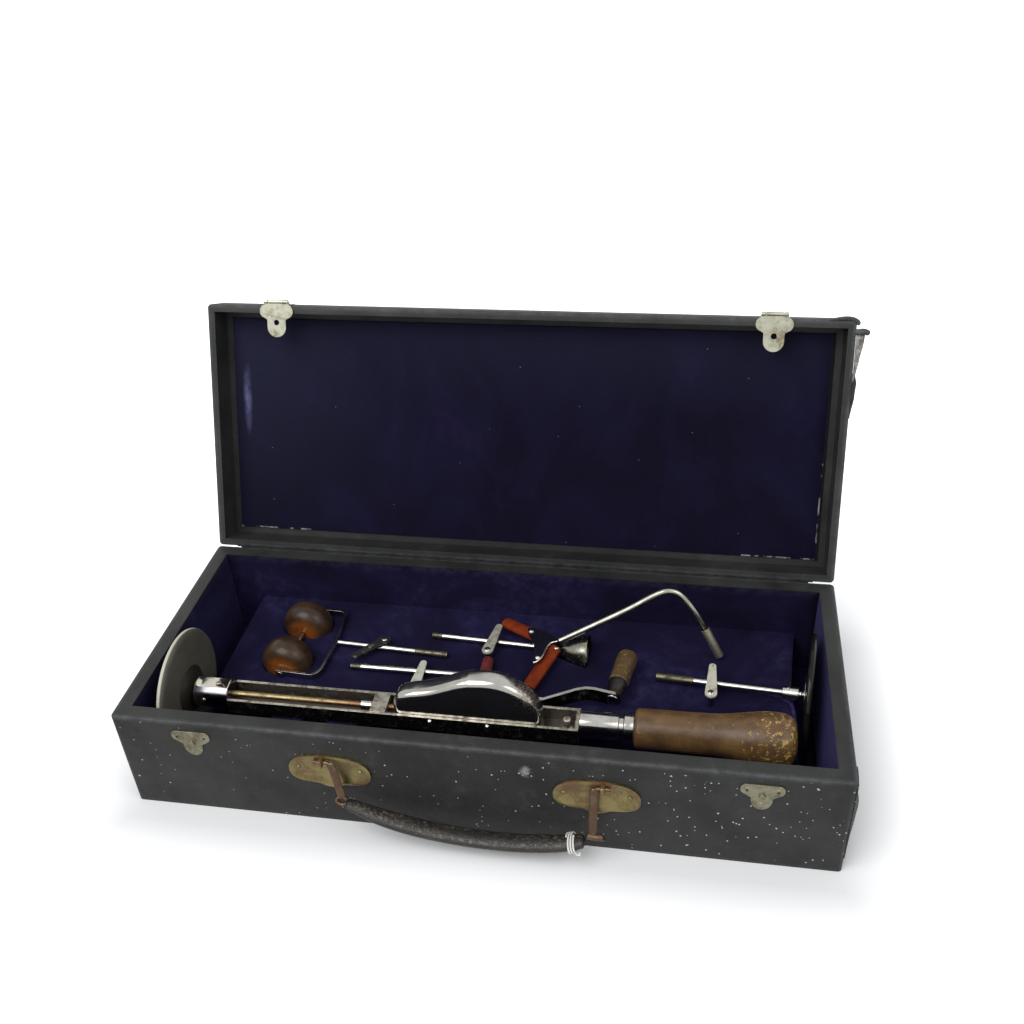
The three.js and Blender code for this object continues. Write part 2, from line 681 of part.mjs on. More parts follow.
// The string winds round the leather's right end as one tube, its turns side by side.
function stringBody() {
  const centre = new THREE.Vector3(68.5, 0, -43.6);
  const run = new THREE.Vector3(1, 0, 0.2).normalize();
  const up = new THREE.Vector3(-run.z, 0, run.x);
  const clear = stringRadius + 0.45;
  const [tall, wide] = [leatherThick / 2 + clear, leatherWide / 2 + clear];
  const stepsPerTurn = 24;
  const sides = 6;
  const count = stringTurns * stepsPerTurn;
  const place = (i) => {
    const turn = (i / stepsPerTurn) * Math.PI * 2;
    const along = (i / stepsPerTurn - stringTurns / 2) * stringPitch;
    return centre.clone().addScaledVector(run, along)
      .addScaledVector(up, tall * Math.cos(turn))
      .add(new THREE.Vector3(0, wide * Math.sin(turn), 0));
  };
  const points = [];
  const faces = [];
  for (let i = 0; i <= count; i += 1) {
    const here = place(i);
    const ahead = place(i + 0.5).sub(place(i - 0.5)).normalize();
    const side = new THREE.Vector3().crossVectors(run, ahead).normalize();
    const other = new THREE.Vector3().crossVectors(ahead, side);
    for (let k = 0; k < sides; k += 1) {
      const turn = (k / sides) * Math.PI * 2;
      const corner = here.clone().addScaledVector(side, stringRadius * Math.cos(turn))
        .addScaledVector(other, stringRadius * Math.sin(turn));
      points.push(...corner.toArray());
    }
  }
  for (let i = 0; i < count; i += 1) {
    for (let k = 0; k < sides; k += 1) {
      const [a, b] = [i * sides + k, i * sides + ((k + 1) % sides)];
      faces.push(a, b, b + sides, a, b + sides, a + sides);
    }
  }
  const last = count * sides;
  for (let k = 1; k < sides - 1; k += 1) {
    faces.push(0, k + 1, k, last, last + k, last + k + 1);
  }
  let least = Infinity;
  for (let i = 0; i <= count; i += 1) {
    for (let j = i + stepsPerTurn / 2; j <= count; j += 1) {
      least = Math.min(least, place(i).distanceTo(place(j)) - 2 * stringRadius);
    }
  }
  console.log(`handle string: least gap between turns ${least.toFixed(2)} mm`);
  const body = new THREE.BufferGeometry();
  body.setAttribute('position', new THREE.Float32BufferAttribute(points, 3));
  body.setIndex(faces);
  return body;
}
makeHandle();

// Instrument, about its long axis: X as in the case, Y and Z from the axis
const instrument = new THREE.Group();
instrument.position.set(0, axisY, axisZ);
medicalSet.add(instrument);

const layX = gearX - (gearTeeth + pinionTeeth) * gearModule / 2;
const bevelGearRadius = bevelGearTeeth * bevelModule / 2;
const bevelPinionRadius = bevelPinionTeeth * bevelModule / 2;
const railOuter = railInner + railThick;
const webTop = railBottom + webThick;

// The gear cover's outline: a low lobe over the small gears that runs into the round over the main gear
function coverOutline(inset, bottom) {
  const radius = coverRadius - inset;
  const left = coverLeft + inset;
  const lobe = [
    [0, 5], [0.7, 10.5], [3, 15.8], [7.5, 19.4], [14, 21.8], [20, 23.2], [26.5, 25], [33.5, 27.8],
    [41, 31.4], [48, 34.6], [54.5, 36.6],
  ].map(([dx, z]) => new THREE.Vector2(left + dx, z - inset));
  const blend = THREE.MathUtils.degToRad(98);
  const roundSteps = 16;
  const round = [];
  for (let i = 0; i <= roundSteps; i += 1) {
    const turn = blend * (1 - i / roundSteps);
    round.push(new THREE.Vector2(gearX + radius * Math.cos(turn), radius * Math.sin(turn)));
  }
  const foot = [new THREE.Vector2(gearX + radius, bottom), new THREE.Vector2(left, bottom)];
  return new THREE.Shape([...lobe, ...round, ...foot]);
}

function makeFrame() {
  const channelEnd = ferruleFrom - seatGap;
  const channel = cut(
    block(headBack, channelEnd, -railOuter, railOuter, railBottom, railTop),
    block(headBack - 1, channelEnd - 2.5, -railInner, railInner, webTop, railTop + 1),
  );
  const bridgeSide = railInner + 0.5;
  const bridge = block(bridgeFrom, bridgeTo, -bridgeSide, bridgeSide, webTop - 0.5, 4.2);
  const thumbScrew = turnedZ([
    [webTop - 0.5, 0], [webTop - 0.5, 1.6], [-2, 1.6], [-2, 3], [2.8, 3], [3.4, 2.4], [3.4, 0],
  ], 12).translate(frameEnd - 2.8, 0, 0);
  const reach = (gearTeeth * gearModule) / 2 + 2.5;
  const slotSide = coverHalf - 0.8;
  const slotFrom = layX - bevelGearRadius - 2;
  const slot = block(slotFrom, gearX + reach, -slotSide, slotSide, railBottom - 1, webTop + 1);
  const holes = [
    barY(axleRadius + runGap, -20, 20, 16).translate(gearX, 0, 0),
    barY(layRadius + runGap, -20, 20, 14).translate(layX, 0, 0),
    barX(shaftRadius + runGap, bridgeFrom - 2, bridgeTo + 2, 16),
  ];
  const screws = [(bridgeFrom + bridgeTo) / 2 - 0.5, channelEnd - 2].map((x) => (
    turnedY([[-overlap, 0], [-overlap, 2.2], [0.8, 2.2], [1.3, 0]], 8).translate(x, railOuter, -2)
  ));
  const frame = cut(join(channel, bridge, thumbScrew, ...screws), slot, ...holes);
  add(instrument, 'frame_channel', frame, 'nickel');
}

// A plate of the cover's outline with its edges rounded all round
function roundedPlate(inset, bottom) {
  const rim = coverRim - inset;
  const half = coverHalf - inset;
  return new THREE.ExtrudeGeometry(coverOutline(inset, bottom), {
    depth: 2 * (half - rim),
    bevelThickness: rim,
    bevelSize: rim,
    bevelOffset: -rim,
    bevelSegments: 4,
  }).translate(0, 0, rim - half).rotateX(Math.PI / 2);
}

function makeCover() {
  const bottom = webTop + seatGap;
  const below = bottom - 2 * coverRim;
  const slots = [
    block(coverLeft - 1, gearX + coverRadius + 1, -coverHalf - 1, coverHalf + 1, below - 1, bottom),
    block(gearX - 3.6, gearX + 3.6, -20, 20, -20, 3.6),
    block(layX - 2.5, layX + 2.5, -20, 20, -20, 2.5),
    block(coverLeft - 2, coverLeft + 2, -3.2, 3.2, -20, 3.2),
  ];
  const cover = cut(roundedPlate(0, below), roundedPlate(coverWall, below - 1), ...slots);
  add(instrument, 'gear_cover', cover, 'nickel');
}

// Straight teeth as an outline, a tooth standing at angle zero when the phase is 0
function toothedOutline(teeth, pitchRadius, phase) {
  const corners = [[-1.45, -1.05], [1, -0.38], [1, 0.38], [-1.45, 1.05]];
  const points = [];
  for (let tooth = 0; tooth < teeth; tooth += 1) {
    const middle = ((tooth + phase) * Math.PI * 2) / teeth;
    for (const [height, half] of corners) {
      const radius = pitchRadius + height;
      const angle = middle + Math.asin(half / radius);
      points.push(new THREE.Vector2(radius * Math.cos(angle), radius * Math.sin(angle)));
    }
  }
  return new THREE.Shape(points);
}

// A bevel gear about +Z with its cone's point at the origin
function bevelBody(teeth, pitchRadius, pitchHeight, backHeight, backRadius) {
  const cone = Math.hypot(pitchRadius, pitchHeight);
  const [lean, rise] = [pitchHeight / cone, pitchRadius / cone];
  const corners = [[-0.95, -0.62], [0.6, -0.24], [0.6, 0.24], [-0.95, 0.62]];
  const ring = (scale) => {
    const points = [];
    for (let tooth = 0; tooth < teeth; tooth += 1) {
      const middle = (tooth * Math.PI * 2) / teeth;
      for (const [height, half] of corners) {
        const radius = (pitchRadius + lean * height) * scale;
        const angle = middle + Math.asin((half * scale) / radius);
        const z = (pitchHeight - rise * height) * scale;
        points.push([radius * Math.cos(angle), radius * Math.sin(angle), z]);
      }
    }
    return points;
  };
  const toeScale = 1 - bevelFace / cone;
  const heel = ring(1);
  const back = heel.map(([x, y]) => {
    const scale = backRadius / Math.hypot(x, y);
    return [x * scale, y * scale, backHeight];
  });
  const points = [...back, ...heel, ...ring(toeScale)];
  points.push([0, 0, backHeight], [0, 0, (pitchHeight + rise * 0.95) * toeScale]);
  const count = heel.length;
  const faces = [];
  for (let i = 0; i < count; i += 1) {
    const j = (i + 1) % count;
    faces.push(3 * count, i, j, 3 * count + 1, 2 * count + j, 2 * count + i);
    for (const row of [0, count]) {
      faces.push(row + i, row + count + i, row + j, row + j, row + count + i, row + count + j);
    }
  }
  const body = new THREE.BufferGeometry();
  body.setAttribute('position', new THREE.Float32BufferAttribute(points.flat(), 3));
  body.setIndex(faces);
  return body;
}

function makeGears() {
  const gearRadius = gearTeeth * gearModule / 2;
  const gearBack = gearFront + gearThick;
  const wheel = prismY(toothedOutline(gearTeeth, gearRadius, 0), gearFront, gearBack);
  const windows = [0, 1, 2, 3].map((k) => {
    const turn = Math.PI / 4 + (k * Math.PI) / 2;
    const [x, z] = [19 * Math.cos(turn), 19 * Math.sin(turn)];
    return barY(7.5, gearFront - 1, gearBack + 1, 10).translate(x, 0, z);
  });
  const outer = overlap - railOuter;
  const dome = [[-railOuter - 0.9, 0], [-railOuter - 0.5, 1.2], [outer, 1.7]];
  const armFace = crankThick / 2 + seatGap;
  const axle = turnedY([
    ...dome, [outer, axleRadius], [gearFront - 0.1, axleRadius], [gearFront - 0.1, 5.2],
    [gearBack + 1.5, 5.2], [gearBack + 1.5, axleRadius], [railOuter + 0.5, axleRadius],
    [railOuter + 0.5, 6.5], [crankNear - armFace, 6.5], [crankNear - armFace, axleRadius],
    [crankNear + armFace, axleRadius], [crankNear + armFace, 4.6], [crankNear + 3.4, 4.6],
    [crankNear + 3.4, 0],
  ], 12);
  add(instrument, 'main_gear', join(cut(wheel, ...windows), axle).translate(gearX, 0, 0), 'steel');

  const spur = prismY(toothedOutline(pinionTeeth, pinionTeeth * gearModule / 2, 0.5), gearFront, gearBack);
  const bevel = bevelBody(bevelGearTeeth, bevelGearRadius, bevelPinionRadius, 5.9, 12.6)
    .rotateX(-Math.PI / 2);
  const arbor = turnedY([
    ...dome, [outer, layRadius], [gearFront, layRadius], [gearFront, 4], [4.5, 4],
    [4.5, layRadius], [railOuter - overlap, layRadius], [railOuter - overlap, 0],
  ], 14);
  add(instrument, 'layshaft', join(spur, bevel, arbor).translate(layX, 0, 0), 'steel');

  const pinionBack = bevelGearRadius + 0.9;
  const pinion = bevelBody(bevelPinionTeeth, bevelPinionRadius, bevelGearRadius, pinionBack, 2.6)
    .rotateY(-Math.PI / 2).translate(layX, 0, 0);
  const collarEnd = bridgeFrom - seatGap;
  const shaft = turnedX([
    [headBack - 18.5, 0], [headBack - 18.5, shaftRadius], [collarEnd - collarLong, shaftRadius],
    [collarEnd - collarLong, collarRadius], [collarEnd, collarRadius], [collarEnd, shaftRadius],
    [layX - bevelGearRadius + 1, shaftRadius], [layX - bevelGearRadius + 1, 0],
  ], 16);
  const cam = barX(eccentricRadius, headBack - 18, headBack - 12, 20).translate(0, 0, eccentricThrow);
  add(instrument, 'drive_shaft', join(shaft, pinion, cam), 'brass');
}

function makeHead() {
  const body = turnedX([
    [headFront, chuckStem + runGap], [headFront, headRadius - 1], [headFront + 1, headRadius],
    [headBack - 1, headRadius], [headBack, headRadius - 0.8], [headBack, shaftRadius + runGap],
    [headBack - headWall, shaftRadius + runGap], [headBack - headWall, headHollow],
    [headFront + headWall, headHollow], [headFront + headWall, chuckStem + runGap],
    [headFront, chuckStem + runGap],
  ], 20);
  const flat = block(headFront + 6, headBack - 1, -20, 20, headRadius - 1, 20);
  const oilHole = barZ(1.3, headRadius - 4, headRadius + 2, 10).translate(headBack - 9, 0, 0);
  const screw = turnedY([
    [-headRadius - 0.8, 0], [-headRadius - 0.3, 1.6], [1.2 - headRadius, 1.6], [1.2 - headRadius, 0],
  ], 10).translate(headFront + 9, 0, 1.7);
  add(instrument, 'head', join(cut(body, flat, oilHole), screw), 'nickel');

  const flangeFront = padFront + padThick + seatGap;
  const stemEnd = headFront + chuckStemLong;
  const chuck = turnedX([
    [flangeFront, 0], [flangeFront, chuckRadius - 1], [flangeFront + 1.2, chuckRadius],
    [flangeFront + chuckFlange - 1.2, chuckRadius - 5], [flangeFront + chuckFlange, chuckStem + 3],
    [flangeFront + chuckFlange, chuckStem], [stemEnd, chuckStem], [stemEnd, 0],
  ], 28);
  add(instrument, 'chuck', chuck, 'olive_rubber');
  const pad = turnedX([
    [padFront, 0], [padFront, padRadius - 0.8], [padFront + 0.8, padRadius],
    [padFront + padThick - 0.8, padRadius], [padFront + padThick, padRadius - 0.8],
    [padFront + padThick, 0],
  ], 40);
  add(instrument, 'disc_pad', pad, 'olive_rubber');
}

// The crank's strip runs along the cover, out over the deck and a little back again, square to the knob.
function makeCrank() {
  const half = crankThick / 2;
  const pivotX = gearX + crankRadius;
  const lean = THREE.MathUtils.degToRad(knobLeanDeg);
  const strip = new THREE.Shape();
  const middle = [
    [gearX - 7, crankNear], [gearX + 35, crankNear], [gearX + 57, crankCrest - 2],
    [gearX + 63, crankCrest], [gearX + 69, crankCrest], [pivotX - 4, crankFar + 4 * Math.tan(lean)],
    [pivotX + 7, crankFar - 7 * Math.tan(lean)],
  ];
  const edges = [
    ...middle.map(([x, y]) => new THREE.Vector2(x, y - half)),
    ...middle.map(([x, y]) => new THREE.Vector2(x, y + half)).reverse(),
  ];
  strip.setFromPoints(edges);
  const profile = new THREE.Shape();
  profile.absarc(gearX, 0, crankTall / 2, Math.PI / 2, Math.PI * 1.5);
  profile.absarc(pivotX, 0, crankTall / 2 - 0.4, -Math.PI / 2, Math.PI / 2);
  const side = solid(prismY(profile, crankNear - 4, crankCrest + 4, 8));
  const arm = geometryOf(solid(prism(strip, -crankTall / 2, crankTall / 2)).intersect(side));
  const atKnob = (body) => body.rotateZ(-lean).translate(pivotX, crankFar, 0);
  const bores = [
    barY(axleRadius + runGap, crankNear - 5, crankNear + 5, 16).translate(gearX, 0, 0),
    atKnob(barY(spindleRadius + runGap, -5, 5, 16)),
  ];
  add(instrument, 'crank_arm', cut(arm, ...bores), 'nickel');

  const face = half + seatGap;
  const knobStart = half + knobCollar;
  const knobEnd = knobStart + knobLong;
  const spindle = turnedY([
    [-face - 1.4, 0], [-face - 1.4, 2.6], [-face - 0.7, 4.4], [-face, 4.4],
    [-face, spindleRadius], [knobEnd - 6, spindleRadius], [knobEnd - 6, 0],
  ], 16);
  add(instrument, 'knob_spindle', atKnob(spindle), 'nickel');

  const bore = spindleRadius + runGap;
  const knob = turnedY([
    [face, bore], [face, 4.3], [face + 3, 4.8], [face + 8.5, knobRadius - 1],
    [knobStart - 1.4, knobRadius - 0.2], [knobStart - 0.5, knobRadius - 0.2],
    [knobStart, knobRadius - 0.8], [knobStart + 0.8, knobRadius],
    [knobStart + 0.7 * knobLong, knobRadius + 0.3], [knobEnd - 2.8, knobRadius + 0.1],
    [knobEnd - 0.9, knobRadius - 0.9], [knobEnd, knobRadius - 2.7], [knobEnd, 0],
    [knobEnd - 5, 0], [knobEnd - 5, bore], [face, bore],
  ], 22);
  add(instrument, 'crank_knob', atKnob(knob), 'knob_wood');
}

function makeHandpiece() {
  const ring = 7;
  const ferrule = turnedX([
    [ferruleFrom, 0], [ferruleFrom, ferruleRadius], [ferruleTo - ring - 4, ferruleRadius],
    [ferruleTo - ring - 3.4, ferruleRadius - 1.4], [ferruleTo - ring - 0.6, ferruleRadius - 1.4],
    [ferruleTo - ring, ferruleRadius + 1], [ferruleTo - seatGap, ferruleRadius + 1],
    [ferruleTo - seatGap, 0],
  ], 28);
  add(instrument, 'ferrule', ferrule, 'nickel');
  add(instrument, 'grip', gripBody(0), 'grip_brown');
}
makeFrame();
makeCover();
makeGears();
makeHead();
makeCrank();
makeHandpiece();

// Attachments on the deck
function makeRollers() {
  const [armFrontX, armFront] = fromLeft(80.5, 13.5);
  const [armBackX, armBack] = fromLeft(85, 85.3);
  const slope = (armBackX - armFrontX) / (armBack - armFront);
  const axleXAt = (y) => armFrontX + slope * (y - armFront);
  const turn = Math.atan(slope);

  const half = yokeStrip / 2;
  const [frontLeftX, frontY0] = fromLeft(77, 14.2);
  const [frontRightX, frontY1] = fromLeft(104, 12.8);
  const yoke = new THREE.Shape();
  const edge = (x, y) => fromLeft(x, y).slice(0, 2);
  yoke.moveTo(frontLeftX, frontY0 - half);
  yoke.lineTo(frontRightX, frontY1 - half);
  yoke.quadraticCurveTo(110 - halfW, frontY1 + 0.6 - half, ...edge(111.7, 22));
  yoke.lineTo(...edge(114, 50));
  yoke.lineTo(...edge(112, 81));
  yoke.quadraticCurveTo(...edge(111, 87), 106 - halfW, deckY(84.4) + yokeStrip);
  yoke.lineTo(81 - halfW, deckY(85.2) + yokeStrip);
  yoke.lineTo(...edge(81, 85.2));
  yoke.lineTo(...edge(105.5, 84.4));
  yoke.quadraticCurveTo(...edge(109.4, 84), ...edge(110, 80));
  yoke.lineTo(...edge(112, 50));
  yoke.lineTo(...edge(109.7, 22));
  yoke.quadraticCurveTo(...edge(108, 14.8), frontRightX, frontY1 + half);
  yoke.lineTo(frontLeftX, frontY0 + half);
  const strip = prism(yoke, deckTop + seatGap, deckTop + seatGap + yokeTall);
  const lift = rodRadius + seatGap;
  const [stemFrom, stemTo] = [fromLeft(113, 51.5, lift), fromRight(280, 46.9, lift)];
  const whole = span(stemFrom, stemTo);
  const neck = whole - stemThread;
  const stem = aim(turnedX([
    [0, 0], [0, rodRadius], [neck, rodRadius], [neck, threadRadius], [whole, threadRadius], [whole, 0],
  ], 12), stemFrom, stemTo);
  const bore = barY(axleThin + runGap, armFront - 20, armBack + 20, 12)
    .rotateZ(-turn).translate(axleXAt(0), 0, rodZ);
  add(medicalSet, 'roller_yoke', cut(join(strip, stem), bore), 'nickel');

  const [headNear, headFar] = [armFront - 1, armBack + 3.1];
  const rivet = axleThin + 0.9;
  const axle = turnedY([
    [headNear - 1.1, 0], [headNear - 1.1, 1], [headNear - 0.5, rivet], [headNear, rivet],
    [headNear, axleThin], [headFar, axleThin], [headFar, rivet], [headFar + 0.6, rivet],
    [headFar + 1.2, 1], [headFar + 1.2, 0],
  ], 12).rotateZ(-turn).translate(axleXAt(0), 0, rodZ);
  add(medicalSet, 'roller_axle', axle, 'nickel');

  const bead = axleThin + runGap;
  const wide = rollerShare * (armBack - armFront);
  const crown = [[-0.5, 0.474], [-0.442, 0.705], [-0.317, 0.884], [-0.15, 0.979], [0, 1],
    [0.15, 0.979], [0.317, 0.884], [0.442, 0.705], [0.5, 0.474]];
  for (const [name, y] of [['roller_front', deckY(28.2)], ['roller_back', deckY(69.75)]]) {
    const roller = turnedY([
      [-wide / 2, bead], ...crown.map(([along, out]) => [along * wide, out * rollerRadius]),
      [wide / 2, bead], [-wide / 2, bead],
    ], 18).rotateZ(-turn).translate(axleXAt(y), y, rodZ);
    add(medicalSet, name, roller, 'roller_brown');
  }
}

function threadedRod(from, to, thread) {
  const length = span(from, to);
  return aim(turnedX([
    [0, 0], [0, threadRadius], [thread, threadRadius], [thread, rodRadius], [length, rodRadius],
    [length, 0],
  ], 12), from, to);
}

function makeRods() {
  add(medicalSet, 'rod_2', threadedRod(rod2From, rod2To, rodThread), 'nickel');
  const tipLong = tipRadius * 5.714;
  const tip = turnedY([
    [0, 0], [0.025, 0.571], [0.1, 0.905], [0.208, 1], [0.792, 1], [0.917, 0.905], [0.983, 0.524], [1, 0],
  ].map(([along, out]) => [along * tipLong, out * tipRadius]), 16);
  const tipX = rod2To[0] + seatGap + tipRadius;
  const tipY = buttons[2].screw[1] - buttonRoot - tipClear - tipLong;
  add(medicalSet, 'red_tip', tip.translate(tipX, tipY, deckTop + tipRadius + seatGap), 'red_rubber');

  const lift = rodRadius + seatGap;
  const [cupFrom, cupTo] = [fromRight(206, 62.8, lift), fromRight(176, 61.2, lift)];
  const rod3To = [cupFrom[0] - seatGap, cupFrom[1], cupFrom[2]];
  add(medicalSet, 'rod_3', threadedRod(fromRight(295.8, 67.7, lift), rod3To, rodThread), 'nickel');
  const bell = [
    [0, 0.222], [0.067, 0.296], [0.2, 0.341], [0.467, 0.607], [0.733, 0.844], [0.967, 1], [1, 1],
  ].map(([along, out]) => [along * cupLong, out * cupRadius]);
  const cup = turnedX([
    [0, 0], ...bell, [cupLong, cupRadius - cupWall], [0.733 * cupLong, 0.844 * cupRadius - cupWall],
    [0.467 * cupLong, 0.607 * cupRadius - cupWall], [0.267 * cupLong, 0.237 * cupRadius],
    [0.25 * cupLong, 0],
  ], 20);
  add(medicalSet, 'cup', aim(cup, cupFrom, cupTo), 'nickel');
}

function makeDiscRod() {
  const start = fromRight(125, 40.5, 3.8);
  const end = fromRight(37, 29.7, 8.3);
  const collar = [88.5, 99.5];
  const rod = turnedX([
    [0, 0], [0, rodRadius], [collar[0], rodRadius], [collar[0], 4.6], [collar[1], 4.6],
    [collar[1], rodRadius], [101.5, rodRadius], [101.5, 0],
  ], 16);
  add(medicalSet, 'disc_rod', aim(rod, start, end), 'nickel');
  const bore = rodRadius + runGap;
  const sleeve = turnedX([[0.4, bore], [0.4, 3.3], [27, 3.3], [27, bore], [0.4, bore]], 14);
  add(medicalSet, 'rod_sleeve', aim(sleeve, start, end), 'aged_nickel');
  const washer = turnedX([
    [101.8, 0], [101.8, 3], [102.4, 8], [103.4, washerRadius], [104.1, washerRadius], [104.1, 0],
  ], 28);
  add(medicalSet, 'dish_washer', aim(washer, start, end), 'nickel');
  const face = 104.4;
  const disc = turnedX([
    [face, 0], [face, 20], [face + 0.8, 21], [face + 0.8, 30], [face + 0.3, 31],
    [face + 0.3, discRadius - 3], [face + 1.4, discRadius], [face + discThick - 1.2, discRadius],
    [face + discThick, discRadius - 2], [face + discThick, 0],
  ], 32);
  add(medicalSet, 'ebonite_disc', aim(disc, start, end), 'ebonite');
}

function makeButtons() {
  const spacer = 2;
  buttons.forEach(({ screw, towardDeg, bottom }, i) => {
    const shape = new THREE.Shape();
    shape.absarc(0, 0, buttonRoot, Math.PI * 0.53, Math.PI * 1.47);
    shape.absarc(buttonLong - 1, 0, buttonTip, -Math.PI / 2, Math.PI / 2);
    const plate = prism(shape, bottom, bottom + buttonThick, 8)
      .rotateZ(THREE.MathUtils.degToRad(towardDeg)).translate(screw[0], screw[1], 0);
    const top = bottom + buttonThick;
    const post = turnedZ([
      [deckTop - 6, 0], [deckTop - 6, screwRadius], [deckTop + seatGap, screwRadius],
      [deckTop + seatGap, spacer], [bottom + 0.2, spacer], [bottom + 0.2, 2.7], [top + 0.3, 2.7],
      [top + 0.8, 1.4], [top + 0.8, 0],
    ], 12).translate(screw[0], screw[1], 0);
    add(medicalSet, `turn_button_${i + 1}`, join(plate, post), 'aged_nickel');
  });
}

// Fork: two flat rubber pads under a plate, and a bent tube that ends in a sleeve
function makeFork() {
  const plateLow = deckTop + 12.8;
  const plateThick = 1.4;
  const arms = [
    { from: fromRight(207, 63.5, 9), to: fromRight(243.8, 87.1, 3.8) },
    { from: fromRight(201.2, 53, 9), to: fromRight(215.1, 17.4, 3.8) },
  ];
  const end = 0.35 * forkPad;
  ['fork_pad_back', 'fork_pad_front'].forEach((name, i) => {
    const { from, to } = arms[i];
    const length = span(from, to);
    const body = turnedX([
      [0.2 - forkPad, 0], [-0.8 * forkPad, 0.48 * forkPad], [end - forkPad, 0.76 * forkPad],
      [0, forkPad], [length - forkPad, forkPad], [length - end, 0.76 * forkPad],
      [length - 0.2 * forkPad, 0.48 * forkPad], [length - 0.2, 0],
    ], 14).scale(1, 1, forkFlat);
    const pitch = Math.asin((from[2] - to[2]) / length);
    const yaw = Math.atan2(to[1] - from[1], to[0] - from[0]);
    add(medicalSet, name, body.rotateY(pitch).rotateZ(yaw).translate(...from), 'red_rubber');
  });

  const shape = new THREE.Shape([
    [222.6, 70.4], [217, 71.6], [210.5, 68.8], [204.9, 65.6], [198.4, 62], [198.4, 58.4],
    [202.8, 56.4], [205.2, 51.7], [206.5, 45.1], [208, 39.5], [210.4, 35.6], [213, 33.9],
    [214.8, 35.4], [213.9, 42.1], [214.5, 49.6], [216.8, 57.1], [220.7, 63.6],
  ].map(([x, y]) => new THREE.Vector2(...fromRight(x, y).slice(0, 2))));
  const plate = prism(shape, plateLow, plateLow + plateThick);
  const rivets = [[219.2, 67.5, 10.8], [210.4, 39.7, 10]].map(([fromEdge, y, height]) => {
    const foot = deckTop + height;
    const top = plateLow + plateThick;
    const [x, across] = fromRight(fromEdge, y);
    return turnedZ([
      [foot, 0], [foot, 1], [plateLow + overlap, 1], [plateLow + overlap, 1.8],
      [top + 0.5, 1.7], [top + 0.9, 0],
    ], 10).translate(x, across, 0);
  });
  add(medicalSet, 'fork_plate', join(plate, ...rivets), 'nickel');

  const bend = [
    [124, 76.8, 51.9], [118.5, 78, 52.5], [113, 78.3, 50.8], [107.4, 77.6, 45.6], [100, 76, 35.8],
  ];
  const straight = [[196.55, 58.9, 14.4], [174, 64.2, 25.8], [148, 70.3, 39.2], [132, 74.6, 48.4]];
  const route = [...straight, ...bend, [91, 74, 20.8]].map((place) => fromRight(...place));
  const [sleeveFrom, sleeveTo] = [route[route.length - 1], fromRight(80, 67.8, 2.6)];
  const length = span(sleeveFrom, sleeveTo);
  const bore = sleeveRadius - 1;
  const sleeve = turnedX([
    [-1, 0], [-1, sleeveRadius - 0.6], [0, sleeveRadius], [length, sleeveRadius],
    [length, bore], [length - 3 * sleeveRadius, bore], [length - 3 * sleeveRadius, 0],
  ], 16);
  const tube = sweep(route, ovalShape(forkTube, forkTube, 8), 22);
  add(medicalSet, 'fork_tube', join(tube, aim(sleeve, sleeveFrom, sleeveTo)), 'nickel');
}
makeRollers();
makeRods();
makeDiscRod();
makeButtons();
makeFork();

export default medicalSet;
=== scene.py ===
import math

import bmesh
import bpy
from mathutils import Matrix, Vector, noise


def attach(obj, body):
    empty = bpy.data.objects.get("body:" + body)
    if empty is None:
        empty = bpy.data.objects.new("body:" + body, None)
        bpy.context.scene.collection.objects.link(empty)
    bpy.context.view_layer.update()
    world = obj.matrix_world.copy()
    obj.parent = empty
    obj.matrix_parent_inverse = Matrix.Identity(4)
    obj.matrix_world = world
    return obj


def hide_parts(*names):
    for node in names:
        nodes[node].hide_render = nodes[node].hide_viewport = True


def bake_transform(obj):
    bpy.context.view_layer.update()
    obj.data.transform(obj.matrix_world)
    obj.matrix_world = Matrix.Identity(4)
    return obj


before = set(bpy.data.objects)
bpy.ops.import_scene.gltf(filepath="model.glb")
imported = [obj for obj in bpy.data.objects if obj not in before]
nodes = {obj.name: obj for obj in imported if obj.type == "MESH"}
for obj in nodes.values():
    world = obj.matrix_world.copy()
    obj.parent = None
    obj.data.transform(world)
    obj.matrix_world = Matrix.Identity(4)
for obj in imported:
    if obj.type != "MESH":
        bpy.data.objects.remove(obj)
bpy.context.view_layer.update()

# Camera. It stands to the right of the case's middle, in front and above, and looks down
# into the open case. Place, turn and lens come from the corners of the case and its lid.
camera_data = bpy.data.cameras.new("camera")
camera_data.lens = 37.80
camera_data.sensor_width = 36
camera = bpy.data.objects.new("camera", camera_data)
bpy.context.scene.collection.objects.link(camera)
look = Vector((-0.1596, 0.8055, -0.5707)).normalized()
across = Vector((0.9857, 0.1619, -0.0470))
across = (across - look * across.dot(look)).normalized()
camera.matrix_world = Matrix((across, across.cross(look), -look)).transposed().to_4x4()
camera.matrix_world.translation = (0.1299, -0.5495, 0.5875)
bpy.context.scene.camera = camera
bpy.context.scene.view_settings.view_transform = "Standard"


# Floor, backdrop and light. The floor is white and keeps the case's shadow, and near the case its colour is
# darkened as a painted shadow. One wide soft lamp hangs over the front left, a smaller one fills in from the
# right.
def wire(tree, kind, inputs=None, **settings):
    """A shader node. Its inputs are sockets to link or plain values."""
    made = tree.nodes.new("ShaderNode" + kind)
    for key, value in settings.items():
        setattr(made, key, value)
    for key, value in (inputs or {}).items():
        if isinstance(value, bpy.types.NodeSocket):
            tree.links.new(value, made.inputs[key])
        else:
            made.inputs[key].default_value = value
    return made


def after(kind, inputs, **settings):
    """A shader node in the tree that its inputs come from."""
    tree = next(value.id_data for value in inputs.values() if isinstance(value, bpy.types.NodeSocket))
    return wire(tree, kind, inputs, **settings)


def maths(operation, *values):
    return after("Math", dict(enumerate(values)), operation=operation).outputs[0]


def times(first, *others):
    for other in others:
        first = maths("MULTIPLY", first, other)
    return first


